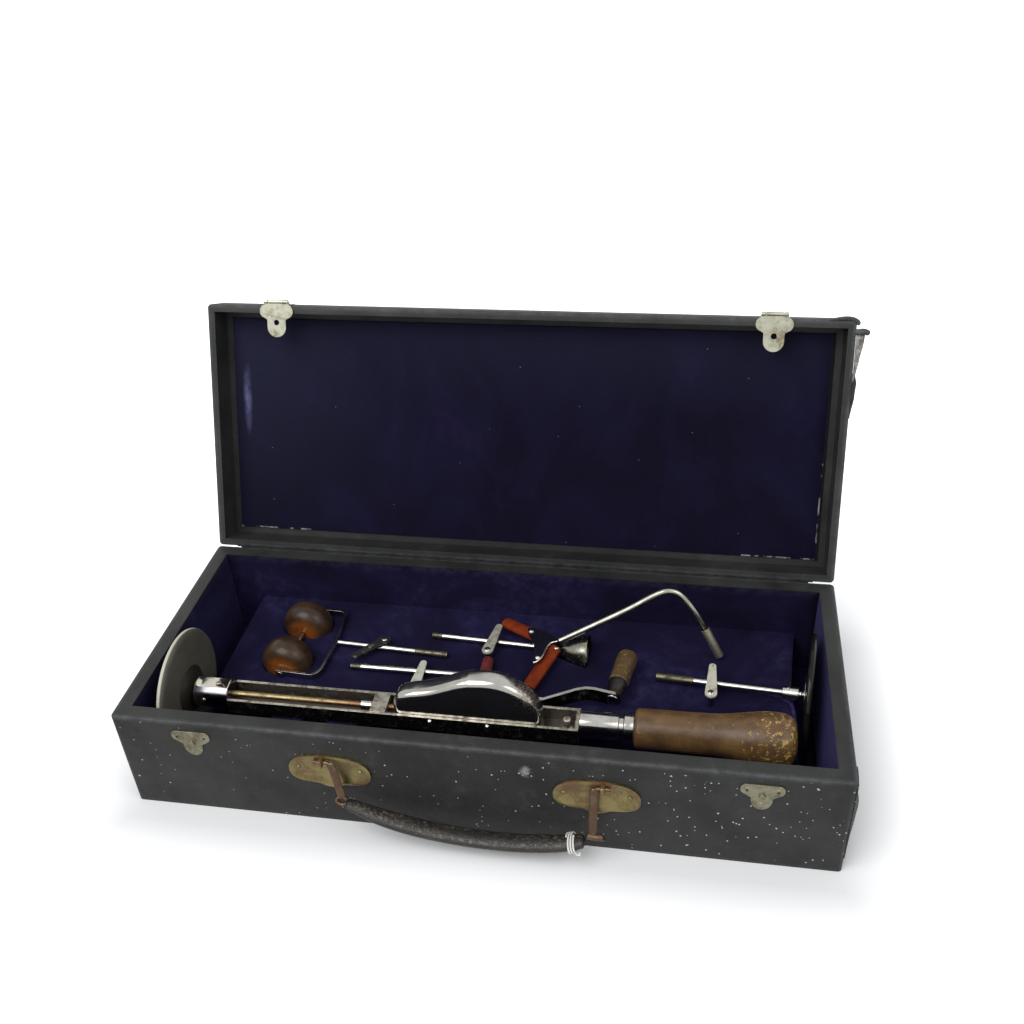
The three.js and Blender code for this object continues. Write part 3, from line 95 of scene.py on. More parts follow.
def most(first, *others):
    for other in others:
        first = maths("MAXIMUM", first, other)
    return first


def span(source, start, end, low, high):
    """low where source is at start, high where it is at end."""
    return after("MapRange", {0: source, 1: start, 2: end, 3: low, 4: high}).outputs[0]


def vector(operation, *places):
    return after("VectorMath", dict(enumerate(places)), operation=operation).outputs[0]


def length_of(place):
    return after("VectorMath", {0: place}, operation="LENGTH").outputs["Value"]


def socket_of(shader, key):
    return shader.inputs[key.replace("_", " ").title().replace("Ior", "IOR")]


def feed(shader, **sources):
    for key, source in sources.items():
        shader.id_data.links.new(source, socket_of(shader, key))


def paint(name, **values):
    """A new material, its shader, and the place on the piece that patterns are laid by."""
    material = bpy.data.materials.new(name)
    material.use_nodes = True
    shader = material.node_tree.nodes["Principled BSDF"]
    for key, value in values.items():
        socket_of(shader, key).default_value = value
    return material, shader, wire(material.node_tree, "TexCoord").outputs["Object"]


def new_piece(name, bm, material, smooth_deg=35):
    for face in bm.faces:
        face.smooth = True
    for edge in bm.edges:
        edge.smooth = edge.is_manifold and edge.calc_face_angle(0) < math.radians(smooth_deg)
    mesh = bpy.data.meshes.new(name)
    bm.to_mesh(mesh)
    bm.free()
    piece = bpy.data.objects.new(name, mesh)
    bpy.context.scene.collection.objects.link(piece)
    mesh.materials.append(material)
    return piece


floor_paint, shader, place = paint("floor_white", roughness=0.9, specular_ior_level=0.0)
tree = shader.id_data
rays = wire(tree, "LightPath").outputs
seen = most(rays["Is Glossy Ray"], rays["Is Transmission Ray"])
glow = wire(tree, "Emission", {"Strength": 0.8}).outputs[0]
floor_mix = after("MixShader", {0: seen, 1: shader.outputs[0], 2: glow}).outputs[0]
beside = vector("SUBTRACT", vector("ABSOLUTE", place), (0.24, 0.11, 0))
distance = length_of(vector("MAXIMUM", beside, (0, 0, 0)))
# painted shadow: within 5 cm of the case the floor's colour is darkened from 0.93 to 0.74
feed(shader, base_color=span(distance, 0.0, 0.05, 0.74, 0.93))
lift = times(span(distance, 0.0, 0.16, 0.03, 0.80), rays["Is Camera Ray"])
lifted = wire(tree, "Emission", {"Strength": lift}).outputs[0]
floor_sum = after("AddShader", {0: floor_mix, 1: lifted}).outputs[0]
tree.links.new(floor_sum, tree.nodes["Material Output"].inputs["Surface"])
floor_bm = bmesh.new()
bmesh.ops.create_grid(floor_bm, x_segments=1, y_segments=1, size=6)
bmesh.ops.translate(floor_bm, verts=floor_bm.verts, vec=(0, 0, -0.0004))
new_piece("floor", floor_bm, floor_paint)

world = bpy.data.worlds.new("studio")
world.use_nodes = True
bpy.context.scene.world = world
tree = world.node_tree
rays = wire(tree, "LightPath").outputs
seen = most(rays["Is Camera Ray"], most(rays["Is Glossy Ray"], rays["Is Transmission Ray"]))
soft_light = wire(tree, "Background", {"Color": (0.93, 0.96, 1.0, 1), "Strength": 0.62}).outputs[0]
white_light = wire(tree, "Background", {"Color": (1, 1, 1, 1), "Strength": 1.0}).outputs[0]
mix = after("MixShader", {0: seen, 1: soft_light, 2: white_light}).outputs[0]
tree.links.new(mix, tree.nodes["World Output"].inputs["Surface"])

aim_at = Vector((0, 0, 0.05))
for name, place, size, power in [
    ("key_lamp", (-0.75, -1.05, 1.75), 1.5, 30),
    ("fill_lamp", (1.25, -0.65, 1.35), 1.0, 7),
]:
    lamp_data = bpy.data.lights.new(name, "AREA")
    lamp_data.size = size
    lamp_data.energy = power
    lamp = bpy.data.objects.new(name, lamp_data)
    lamp.location = place
    lamp.rotation_euler = (aim_at - Vector(place)).to_track_quat("-Z", "Y").to_euler()
    bpy.context.scene.collection.objects.link(lamp)


# Base covering: one skin of black leatherette glued over the wooden walls and turned over the
# rim. The edges are rubbed grey, white paint specks lie on the front, and one scuff is pale.
def mixed(factor, low, high, **settings):
    """low where factor is 0, high where it is 1. Each is a socket or a colour."""
    low, high = [(*value, 1) if isinstance(value, tuple) else value for value in (low, high)]
    return after("Mix", {0: factor, 6: low, 7: high}, data_type="RGBA", **settings).outputs[2]


def laid(tone, colour, *shares):
    """A colour laid over a tone, as far as the product of the shares goes."""
    return mixed(times(*shares), tone, colour)


def fade(source, start, end):
    made = after("ValToRGB", {"Fac": source})
    low, high = made.color_ramp.elements
    low.position, high.position = start, end
    return made.outputs["Color"]


def axes(place):
    return after("SeparateXYZ", {0: place}).outputs


def clouds(place, scale, detail=2.0, roughness=0.5, distortion=0.0):
    return after("TexNoise", {"Vector": place, "Scale": scale, "Detail": detail, "Roughness": roughness,
                              "Distortion": distortion}).outputs[0]


def cracks(place, scale):
    return after("TexVoronoi", {"Vector": place, "Scale": scale}, feature="DISTANCE_TO_EDGE").outputs[0]


def stretched(place, scale):
    return after("Mapping", {"Vector": place, "Scale": scale}).outputs[0]


def turned_back(place, pivot, turn_x):
    """The place on the closed case of a point that has turned about the X axis."""
    back = after("VectorRotate", {"Vector": place, "Center": pivot, "Axis": (1, 0, 0), "Angle": -turn_x})
    return back.outputs[0]


def bumped(shader, height, strength, distance=0.0002):
    bump = after("Bump", {"Strength": strength, "Distance": distance, "Height": height})
    feed(shader, normal=bump.outputs[0])


def speckle(place, scale, size, share):
    """Spots of a size: cells of a scale, of which only a share hold one."""
    cells = after("TexVoronoi", {"Vector": place, "Scale": scale})
    tint = after("SeparateColor", {"Color": cells.outputs["Color"]}).outputs[0]
    return times(maths("LESS_THAN", cells.outputs["Distance"], size), maths("LESS_THAN", tint, share))


def edge_wear(place, half_size, centre, reach):
    """How near a point is to an edge of a box: 1 on the edge, 0 beyond reach."""
    x, y, z = axes(vector("SUBTRACT", half_size, vector("ABSOLUTE", vector("SUBTRACT", place, centre))))
    second = most(maths("MINIMUM", x, y), maths("MINIMUM", most(x, y), z))
    return span(second, 0.0, reach, 1.0, 0.0)


def leatherette(name, half_size, centre, turn_x=0.0, pivot=(0, 0, 0)):
    material, shader, place = paint(name, specular_ior_level=0.30)
    at = turned_back(place, pivot, turn_x)
    x, y, z = axes(at)
    cloud = clouds(at, 22.0, 5.0, 0.62)
    scuffs = clouds(at, 75.0, 8.0, 0.75)
    spatter = clouds(at, 17.0)
    tone = mixed(fade(cloud, 0.35, 0.7), (0.0080, 0.0086, 0.0078), (0.0180, 0.0190, 0.0172))
    # painted light and shade: the covering is painted lighter toward both ends and darker across its middle
    ends_painted_lighter = span(maths("ABSOLUTE", x), 0.05, 0.16, 0.0, 1.0)
    tone = laid(tone, (0.034, 0.0365, 0.0325), ends_painted_lighter, fade(cloud, 0.2, 0.75), 0.75)
    tone = laid(tone, (0.075, 0.075, 0.072), fade(scuffs, 0.5, 0.68), fade(cloud, 0.42, 0.66), 0.4)
    edge = edge_wear(at, half_size, centre, 0.0034)
    tone = laid(tone, (0.105, 0.107, 0.115), edge, fade(scuffs, 0.36, 0.62), 0.7)
    flecks = most(speckle(at, 260.0, 0.15, 0.13), speckle(at, 120.0, 0.085, 0.2))
    flecks = times(flecks, fade(spatter, 0.44, 0.5))
    splash = times(speckle(at, 240.0, 0.15, 0.20), span(x, 0.06, 0.11, 0.0, 1.0), fade(spatter, 0.36, 0.5))
    flecks = times(most(flecks, speckle(at, 430.0, 0.17, 0.05), splash), maths("LESS_THAN", z, 0.0795))
    from_scuff = length_of(vector("SUBTRACT", at, (0.0406, -0.0955, 0.0660)))
    scuff = times(span(from_scuff, 0.002, 0.0064, 0.6, 0.0), fade(scuffs, 0.44, 0.58))
    tone = laid(tone, (0.52, 0.53, 0.51), most(flecks, scuff), 0.8)
    feed(shader, base_color=tone, roughness=span(scuffs, 0.3, 0.7, 0.42, 0.66))
    pores = times(fade(cracks(at, 900.0), 0.0, 0.12), 0.5)
    bumped(shader, maths("ADD", pores, clouds(at, 260.0, 6.0, 0.65)), 0.35, 0.0004)
    return material


def box(size, centre):
    bm = bmesh.new()
    bmesh.ops.create_cube(bm, size=1)
    bmesh.ops.scale(bm, verts=bm.verts, vec=size)
    bmesh.ops.translate(bm, verts=bm.verts, vec=centre)
    return bm


def rounded(bm, edges, offset, segments=3, **settings):
    bmesh.ops.bevel(bm, geom=list(edges), offset=offset, segments=segments, affect="EDGES", profile=0.5,
                    material=-1, **settings)


def walled(piece, thickness, offset=-1):
    wall = piece.modifiers.new("wall", "SOLIDIFY")
    wall.thickness = thickness
    wall.offset = offset


def carried(piece, body, slot, *replaced):
    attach(piece, body)
    if replaced:
        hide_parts(*replaced)
    return piece


def skin_box(low, high, mouth_x, mouth_y, closed=False):
    """A skin of cloth over a box of the case's plan, with a soft rim round its mouth above."""
    bm = box((2 * half_long, 2 * half_deep, high - low), (0, 0, (high + low) / 2))
    rounded(bm, [e for e in bm.edges if abs(e.verts[0].co.z - e.verts[1].co.z) > 0.001], 0.003, 5)
    foot = [f for f in bm.faces if f.calc_center_median().z < low + 1e-5]
    if closed:
        rounded(bm, {e for f in foot for e in f.edges}, 0.0014)
    else:
        bmesh.ops.delete(bm, geom=foot, context="FACES_ONLY")
    top = [f for f in bm.faces if f.calc_center_median().z > high - 1e-5]
    rounded(bm, {e for f in top for e in f.edges}, 0.0016)
    top = [f for f in bm.faces if f.calc_center_median().z > high - 1e-5]
    bmesh.ops.inset_region(bm, faces=top, thickness=0.004)
    for vert in {v for f in top for v in f.verts}:
        vert.co.x = math.copysign(mouth_x, vert.co.x)
        vert.co.y = math.copysign(mouth_y, vert.co.y)
    bmesh.ops.delete(bm, geom=top, context="FACES")
    bmesh.ops.remove_doubles(bm, verts=bm.verts, dist=1e-6)
    long_edges = [e for e in bm.edges if e.calc_length() > 0.05]
    bmesh.ops.subdivide_edges(bm, edges=long_edges, cuts=24, use_grid_fill=True)
    bmesh.ops.recalc_face_normals(bm, faces=bm.faces)
    return bm


half_long, half_deep, base_high, lid_high = 0.240, 0.0955, 0.082, 0.026
cloth_thick = 0.0009
base_skin = leatherette("base_leatherette", (half_long, half_deep, 0.0415), (0, 0, 0.0405))
covering = new_piece("base_skin", skin_box(0.001, base_high, 0.229, 0.0845), base_skin)
walled(covering, cloth_thick)
carried(covering, "case", "leatherette", "base_covering")


# Torn covering at the base's right end: the cloth has split along the front corner, and its
# stiff edge bulges off the boards.
bm = bmesh.new()
bmesh.ops.create_grid(bm, x_segments=10, y_segments=26, size=0.5)
tear_x, tear_bulge = half_long + 0.0002, 0.0078
root_low, root_high = Vector((tear_x, -0.0945, 0.012)), Vector((tear_x, -0.0945, 0.080))
free_low, free_high = Vector((tear_x, -0.0780, 0.010)), Vector((tear_x, -0.0800, 0.081))
for vert in bm.verts:
    u, v = vert.co.x + 0.5, vert.co.y + 0.5
    ragged = noise.noise((v * 9, 3, u)) * 0.0016 * u
    ripple = noise.noise((v * 5, 7, 0.3)) * 0.5 + 0.8
    out = tear_bulge * ripple * (u * (1.6 - 0.9 * u)) * math.sin(math.pi * min(1, max(0, v * 0.94 + 0.03)))
    vert.co = root_low.lerp(root_high, v).lerp(free_low.lerp(free_high, v), u) + Vector((out, 0, ragged))
tear = new_piece("torn_flap", bm, base_skin, 180)
walled(tear, 0.0006)
carried(tear, "case", "leatherette")


# Hinge cloth: a strip of the same cloth glued along the back of base and lid. It is the only
# hinge of the lid, so it folds into the gap between the two rims when the lid stands open.
lid_pivot = Vector((0, half_deep, base_high))
lid_open = math.radians(-111.4)
lid_place = Matrix.Translation(lid_pivot) @ Matrix.Rotation(lid_open, 4, "X")
hinge_thick = 0.0005

bm = bmesh.new()
bmesh.ops.create_grid(bm, x_segments=40, y_segments=8, size=0.5)
for vert in bm.verts:
    u, v = vert.co.x * 0.444, vert.co.y + 0.5
    base_edge = Vector((u, 0.0966, 0.0792))
    lid_edge = lid_place @ Vector((u, 0.0011, 0.0030))
    fold = 0.0008 * math.sin(math.pi * v)
    vert.co = base_edge.lerp(lid_edge, v) + Vector((0, fold, fold * 0.6))
hinge_cloth = new_piece("hinge_cloth", bm, base_skin, 180)
walled(hinge_cloth, hinge_thick)
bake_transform(hinge_cloth)

for name, low_z, high_z, free_edge, place, body in [
    ("hinge_cloth_base", 0.066, 0.080, -1, Matrix.Translation((0, 0.0956, 0)), "case"),
    ("hinge_cloth_lid", 0.002, 0.014, 1, lid_place @ Matrix.Translation((0, 0.0001, 0)), "lid"),
]:
    bm = bmesh.new()
    bmesh.ops.create_grid(bm, x_segments=150, y_segments=5, size=0.5)
    for vert in bm.verts:
        share = vert.co.y + 0.5
        near_edge = 1 - share if free_edge < 0 else share
        ragged = noise.noise((vert.co.x * 60, free_edge, 0)) * 0.0009 * near_edge
        vert.co = Vector((vert.co.x * 0.450, 0.0003, low_z + (high_z - low_z) * share + ragged))
    bmesh.ops.transform(bm, matrix=place, verts=bm.verts)
    strip = new_piece(name, bm, base_skin, 180)
    walled(strip, hinge_thick, 0)
    carried(strip, body, "leatherette")


# Bottom cloth: a thin woven cloth glued under the case, rubbed where it slides on a table.
def painted(material, *names):
    """CAD nodes that show as they are, in a material of their own."""
    for name in names:
        nodes[name].data.materials.clear()
        nodes[name].data.materials.append(material)


cloth_paint, shader, place = paint("bottom_weave", roughness=0.9)
warp, weft = [after("TexWave", {"Vector": place, "Scale": 420.0, "Distortion": 0.6}, bands_direction=way)
              for way in "XY"]
weave = most(warp.outputs["Fac"], weft.outputs["Fac"])
tone = mixed(fade(clouds(place, 18.0, 6.0), 0.4, 0.7), (0.028, 0.027, 0.026), (0.075, 0.07, 0.062))
feed(shader, base_color=mixed(times(weave, 0.35), (0.02, 0.02, 0.02), tone))
bumped(shader, weave, 0.4, 0.0003)
painted(cloth_paint, "bottom_cloth")


# Boards: the softwood box under the cloth and velvet, and the lid's own frame. They are hidden
# but for their edges inside, and show plain planed grain along the case.
board_grain, shader, place = paint("pine_boards", roughness=0.7)
along_grain = stretched(place, (0.06, 1.0, 1.0))
rings = fade(clouds(along_grain, 320.0, 5.0, 0.5, 0.5), 0.38, 0.62)
feed(shader, base_color=mixed(rings, (0.253, 0.1815, 0.1045), (0.46, 0.33, 0.19)))
bumped(shader, clouds(along_grain, 1800.0, 3.0), 0.25)
painted(board_grain, "bottom_board", "wall_boards", "deck_board", "deck_supports", "lid_frame")


# Velvet lining: short-pile silk velvet, deep violet blue, glued to walls and floor. Worn pile
# lies flat in patches, and its sheen there is painted into the colour as lighter patches; dust and lint sit
# in the trough.
def velvet(name, worn=0.5, streak=(1.0, 1.0, 1.0), turn_x=0.0, marks=None):
    material, shader, place = paint(name, roughness=0.95, specular_ior_level=0.12, sheen_weight=0.16,
                                    sheen_roughness=0.38, sheen_tint=(0.36, 0.32, 0.95, 1))
    back = turned_back(place, lid_pivot, turn_x)
    laid_way = stretched(back, streak)
    patches, combed = clouds(laid_way, 16.0, 7.0, 0.6, 0.7), clouds(laid_way, 120.0, 4.0, 0.6)
    pile = clouds(back, 2600.0)
    tone = mixed(fade(patches, 0.36, 0.66), (0.0036, 0.0026, 0.0125), (0.0090, 0.0066, 0.0340))
    # painted sheen: worn patches of pile are laid a lighter violet
    tone = laid(tone, (0.034, 0.029, 0.080), fade(patches, 0.50, 0.74), fade(combed, 0.42, 0.68), worn)
    if marks:
        tone = marks(back, combed, tone)
    grain = mixed(pile, (0.55, 0.55, 0.55), (1.4, 1.4, 1.4))
    deep = mixed(1.0, tone, grain, blend_type="MULTIPLY")
    feed(shader, base_color=laid(deep, (0.30, 0.29, 0.30), speckle(back, 130.0, 0.045, 0.07), 0.6))
    bumped(shader, maths("ADD", times(combed, 1.4), pile), 0.45, 0.0006)
    return material


def case_marks(at, combed, tone):
    """The right end wall's velvet is painted near black as painted shade, and dust lies along the walls'
    tops.
    """
    x, y, z = axes(at)
    # painted shade: the right end wall's velvet is darkened to near black
    tone = laid(tone, (0.0009, 0.0008, 0.0016), span(x, 0.224, 0.2285, 0.0, 1.0))
    return laid(tone, (0.05, 0.046, 0.085), span(z, 0.074, 0.081, 0.0, 0.35), fade(combed, 0.4, 0.62))


case_velvet = velvet("case_velvet", worn=0.7, marks=case_marks)
painted(case_velvet, "case_lining")


# Deck velvet: the same velvet drawn over the raised board and down its front and right side. It is
# pressed down under the rollers and the cup, which lie half sunk in it, and a thin covered board
# closes the trough at its right end.
def between(share, stops):
    """The value at share on straight lines between (place, value) stops."""
    for (start, low), (end, high) in zip(stops, stops[1:]):
        if share <= end:
            return low + (high - low) * (share - start) / (end - start)
    return stops[-1][1]


lying, pressed, untouched = 43.7, 0.3, 99.0
roller_line = [(0, 19), (3.6, 18.6), (7.6, 16.8), (10.6, 13.4), (12.0, 9.4), (12.9, 9.4)]
roller_middles, axle_x, axle_slope = (10.2, 51.75), -159.2, 0.0627
cup_line = [(0, 2.4), (1.2, 3.9), (6.0, 4.6), (14.0, 8.2), (22.0, 11.4), (28.4, 13.3), (29.6, 13.7)]
cup_x, cup_y, cup_way = 34, 44.8, Vector((30, -1.6))


def under_rollers(x, y):
    """How high (mm) the velvet may stand at a place before a roller presses it down."""
    for middle in roller_middles:
        if abs(y - middle) < 12.9:
            reach = between(abs(y - middle), roller_line) + pressed
            off = x - axle_x - axle_slope * y
            if abs(off) < reach:
                return lying - math.sqrt(reach ** 2 - off ** 2)
    return untouched


def under_cup(x, y):
    way = cup_way.normalized()
    onward = (x - cup_x) * way.x + (y - cup_y) * way.y
    off = (y - cup_y) * way.x - (x - cup_x) * way.y
    if -0.5 < onward < 30.8:
        reach = between(onward, [(-0.5, 2.4)] + cup_line[1:] + [(30.8, 13.7)]) + pressed
        if abs(off) < reach:
            return lying - math.sqrt(reach ** 2 - off ** 2)
    return untouched


def deck_edge(y):
    """The deck's right edge (mm), drawn in a little behind the grip's end."""
    return between(y, [(-19, 212.6), (-6.6, 213.0), (3.5, 212.7), (12.4, 211.6), (20, 209.9), (84.5, 214.9)])


deck_left, deck_front, deck_back, deck_top, trough_floor, soft = -205.0, -19.0, 84.5, 41.0, 7.0, 3.0
low_top = deck_top - soft
bends = [math.radians(15 * i) for i in range(7)]
rows = [(deck_front, trough_floor + (low_top - trough_floor) * i / 8) for i in range(8)]
rows += [(deck_front + soft - soft * math.cos(bend), low_top + soft * math.sin(bend)) for bend in bends]
rows += [(deck_front + soft + (deck_back - deck_front - soft) * i / 112, deck_top) for i in range(1, 113)]
columns = [(i / 460, 0.0, deck_top) for i in range(461)]
columns += [(1.0, soft * math.sin(bend), low_top + soft * math.cos(bend)) for bend in bends[1:]]
columns += [(1.0, soft, z) for z in (30.0, 20.0, trough_floor)]
bm = bmesh.new()
sheet = []
for y, row_top in rows:
    line = []
    for share, out, column_top in columns:
        x = deck_left + share * (deck_edge(y) - soft - deck_left) + out
        height = min(row_top, column_top)
        if height > low_top:
            height = min(height, under_rollers(x, y) - 0.5, under_cup(x, y) - 0.5)
            height -= 0.15 + 0.15 * noise.noise((x * 0.06, y * 0.06, 5.0))
        line.append(bm.verts.new((x / 1000, y / 1000, height / 1000)))
    sheet.append(line)
for near, far in zip(sheet, sheet[1:]):
    for i in range(len(near) - 1):
        bm.faces.new((near[i], near[i + 1], far[i + 1], far[i]))
bmesh.ops.remove_doubles(bm, verts=bm.verts, dist=1e-6)
bmesh.ops.recalc_face_normals(bm, faces=bm.faces)
carried(new_piece("deck_cloth", bm, case_velvet, 75), "case", "velvet", "deck_velvet")

bm = box((0.002, 0.0657, 0.034), (0.211, -0.0517, 0.024))
long_edges = [e for e in bm.edges if e.calc_length() > 0.05]
bmesh.ops.subdivide_edges(bm, edges=long_edges, cuts=60, use_grid_fill=True)
crest = [e for e in bm.edges if min(v.co.z for v in e.verts) > 0.0409 and
         abs(e.verts[0].co.x - e.verts[1].co.x) < 1e-6]
rounded(bm, crest, 0.0009, 4)
for vert in bm.verts:
    vert.co.x += 0.0003 * noise.noise((vert.co.y * 90, vert.co.z * 90, 8.0))
carried(new_piece("deck_partition", bm, case_velvet, 75), "case", "velvet")


# Cradle: a velvet-covered plank in the trough with blocks that carry the instrument's rails and
# grip. It is mostly hidden under the instrument.
def edged(piece, width, segments, limit_deg):
    """Rounded edges on a finished mesh, wherever it turns by more than the limit."""
    edges = piece.modifiers.new("edges", "BEVEL")
    edges.width = width
    edges.segments = segments
    edges.limit_method = "ANGLE"
    edges.angle_limit = math.radians(limit_deg)
    return edges


def softened(name, node, material, body, slot, width, segments=2, limit_deg=40, smooth_deg=40):
    """A copy of a CAD node with its faces joined up and its edges rounded."""
    bm = bmesh.new()
    bm.from_mesh(nodes[node].data)
    bmesh.ops.remove_doubles(bm, verts=bm.verts, dist=1e-6)
    bmesh.ops.dissolve_limit(bm, angle_limit=math.radians(1), verts=bm.verts, edges=bm.edges)
    piece = new_piece(name, bm, material, smooth_deg)
    edged(piece, width, segments, limit_deg).miter_outer = "MITER_ARC"
    return carried(piece, body, slot, node)


softened("cradle_cloth", "cradle", case_velvet, "case", "velvet", 0.0012, 3, 30)


# Lid covering: the same leatherette over the shallow lid. Its rim is rubbed grey, one upper
# corner is rolled back and the right side has a torn strip that hangs off near the top.
lid_skin = leatherette("lid_leatherette", (half_long, half_deep, 0.0131), (0, 0, half_deep), lid_open,
                       lid_pivot)
lid_box = skin_box(0, lid_high, 0.2343, 0.0898, closed=True)
turned_over = Matrix.Translation((0, -half_deep, 0.0266)) @ Matrix.Rotation(math.pi, 4, "X")
bmesh.ops.transform(lid_box, matrix=lid_place @ turned_over, verts=lid_box.verts)
lid_cover = new_piece("lid_skin", lid_box, lid_skin)
walled(lid_cover, cloth_thick)
carried(lid_cover, "lid", "leatherette", "lid_covering")
painted(lid_skin, "lid_lining", "lid_panel")


def rounded_line(points, per=5):
    """More points between the given ones, on a smooth curve through them."""
    line = []
    padded = [points[0]] + list(points) + [points[-1]]
    for before, start, end, after_end in zip(padded, padded[1:], padded[2:], padded[3:]):
        for i in range(per):
            t = i / per
            line.append(tuple(0.5 * (2 * b + (c - a) * t + (2 * a - 5 * b + 4 * c - d) * t * t +
                                     (3 * b - a - 3 * c + d) * t ** 3)
                              for a, b, c, d in zip(before, start, end, after_end)))
    return line + [points[-1]]


def swept(name, points, section, material, body, slot, *replaced, side=(0, 1, 0), place=None, per=6,
          taper=((0, 1), (1, 1)), sides=24):
    """A bar along points (mm); its oval section's half sizes (mm) run across side and along it."""
    line = [Vector(point) for point in rounded_line(points, per)]
    last = len(line) - 1
    bm = bmesh.new()
    rings = []
    for i, centre in enumerate(line):
        ahead = (line[min(i + 1, last)] - line[max(i - 1, 0)]).normalized()
        flat = ahead.cross(Vector(side)).normalized()
        deep = flat.cross(ahead)
        grow = between(i / last, taper)
        turns = [2 * math.pi * k / sides for k in range(sides)]
        rings.append([bm.verts.new((centre + flat * (section[0] * grow * math.cos(turn)) +
                                    deep * (section[1] * grow * math.sin(turn))) / 1000) for turn in turns])
    for near, far in zip(rings, rings[1:]):
        for k in range(sides):
            bm.faces.new((near[k], near[(k + 1) % sides], far[(k + 1) % sides], far[k]))
    bm.faces.new(rings[0])
    bm.faces.new(rings[-1])
    bmesh.ops.recalc_face_normals(bm, faces=bm.faces)
    if place:
        bmesh.ops.transform(bm, matrix=place, verts=bm.verts)
    return carried(new_piece(name, bm, material, 50), body, slot, *replaced)


# the torn cloth's back, pale and dirty
torn_weave, shader, place = paint("torn_weave", roughness=0.85)
dirt = clouds(place, 260.0, 5.0, 0.7)
feed(shader, base_color=mixed(fade(dirt, 0.35, 0.65), (0.05, 0.048, 0.045), (0.36, 0.34, 0.31)))
bumped(shader, dirt, 0.5, 0.0003)
for name, stops, lift, material in [
    ("lid_tear_pale", [(-182, 6.2), (-175, 5.6), (-162, 3.4), (-152, 1.4), (-148, 0.3)], 2.0, torn_weave),
    ("lid_tear_dark", [(-154, 1.2), (-147, 3.2), (-137, 2.6), (-128, 1.2), (-122, 0.2)], 3.2, lid_skin),
]:
    # stops are the strip's reach outward (mm) at places down the lid's side
    bm = bmesh.new()
    bmesh.ops.create_grid(bm, x_segments=8, y_segments=36, size=0.5)
    for vert in bm.verts:
        u, v = vert.co.x + 0.5, vert.co.y + 0.5
        down = stops[0][0] + (stops[-1][0] - stops[0][0]) * v
        wave = noise.noise((down * 0.13, u * 1.5, lift)) * 1.3 * u
        vert.co = Vector((240.1 + between(down, stops) * u, down, lift + wave + 2.5 * u)) / 1000
    bmesh.ops.transform(bm, matrix=lid_place, verts=bm.verts)
    strip = new_piece(name, bm, material, 180)
    walled(strip, 0.0006)
    carried(strip, "lid", "leatherette")
for name, route, section, taper in [
    ("lid_tear_roll", [(237.5, -182.5, 2.4), (241, -183, 1.4), (245, -183.4, 1.6), (249, -182, 2.8)],
     (2.1, 1.8), [(0, 0.7), (0.2, 1), (0.9, 1), (1, 0.5)]),
    ("lid_corner_roll", [(221, -190.9, 1.2), (229, -191.9, 1.0), (236, -192.0, 1.0), (240.4, -190.0, 1.4),
                         (241.0, -187.5, 1.8)], (1.5, 1.3), [(0, 0.4), (0.3, 1), (0.85, 1), (1, 0.4)]),
]:
    swept(name, route, section, lid_skin, "lid", "leatherette", side=(0, 0, 1), place=lid_place, per=5,
          taper=taper)


# Lid pad: a card covered with a little wadding and velvet, laid loose in the lid. It is crowned,
# its edges are drawn round the card, and its pile is crushed bright near the left edge.
def pad_marks(at, combed, tone):
    """Haze toward the left, a bluish painted highlight along the front edge (the top of the open lid), one
    crushed streak, and frayed pale edges.
    """
    x, y, z = axes(at)
    left = times(span(x, -0.215, -0.07, 0.85, 0.0), span(y, -0.06, 0.07, 1.0, 0.2))
    # the haze along the front edge is a painted highlight
    front = span(y, -0.0825, -0.0195, 0.45, 0.0)
    tone = mixed(most(left, front), mixed(0.45, tone, (0.0022, 0.0020, 0.0060)), (0.0150, 0.0155, 0.0350))
    from_streak = vector("MULTIPLY", vector("SUBTRACT", at, (-0.2185, -0.0235, 0)), (250, 30, 0))
    streak = span(length_of(from_streak), 0.1, 1.0, 1.0, 0.0)
    tone = laid(tone, (0.12, 0.12, 0.24), streak, fade(combed, 0.3, 0.6))
    ragged = maths("ADD", x, times(combed, 0.0016))
    tone = laid(tone, (0.0105, 0.0112, 0.0105), maths("GREATER_THAN", ragged, 0.2282))
    right = times(maths("COMPARE", ragged, 0.2280, 0.0005), maths("GREATER_THAN", y, 0.0105))
    low = times(maths("GREATER_THAN", y, 0.0832), maths("GREATER_THAN", maths("ABSOLUTE", x), 0.165))
    return laid(tone, (0.40, 0.38, 0.33), most(right, low), fade(combed, 0.5, 0.6), 0.8)


pad_velvet = velvet("pad_velvet", worn=0.22, streak=(1.0, 0.6, 1.0), turn_x=lid_open, marks=pad_marks)
pad_x, pad_y, pad_back, card_thick = 0.2293, 0.0848, 0.0223, 0.0011
bm = box((2 * pad_x, 2 * pad_y, card_thick), (0, -half_deep, pad_back - card_thick / 2))
long_edges = [e for e in bm.edges if abs(e.verts[0].co.x - e.verts[1].co.x) > 0.1]
bmesh.ops.subdivide_edges(bm, edges=long_edges, cuts=110, use_grid_fill=True)
deep_edges = [e for e in bm.edges if abs(e.verts[0].co.y - e.verts[1].co.y) > 0.1]
bmesh.ops.subdivide_edges(bm, edges=deep_edges, cuts=40, use_grid_fill=True)
lid_pad = new_piece("velvet_pad", bm, pad_velvet, 60)
flat_pad = [vert.co.copy() for vert in lid_pad.data.vertices]
swollen = flat_pad
held = lid_pad.vertex_groups.new(name="card")
held.add([i for i, co in enumerate(flat_pad) if co.z > pad_back - 0.0001], 1.0, "REPLACE")
wadding = lid_pad.modifiers.new("wadding", "CLOTH")
wadding.settings.quality = 4
wadding.settings.use_pressure = True
wadding.settings.uniform_pressure_force = 3
wadding.settings.effector_weights.gravity = 0
wadding.settings.vertex_group_mass = "card"
for step in range(1, 16):
    bpy.context.scene.frame_set(step)
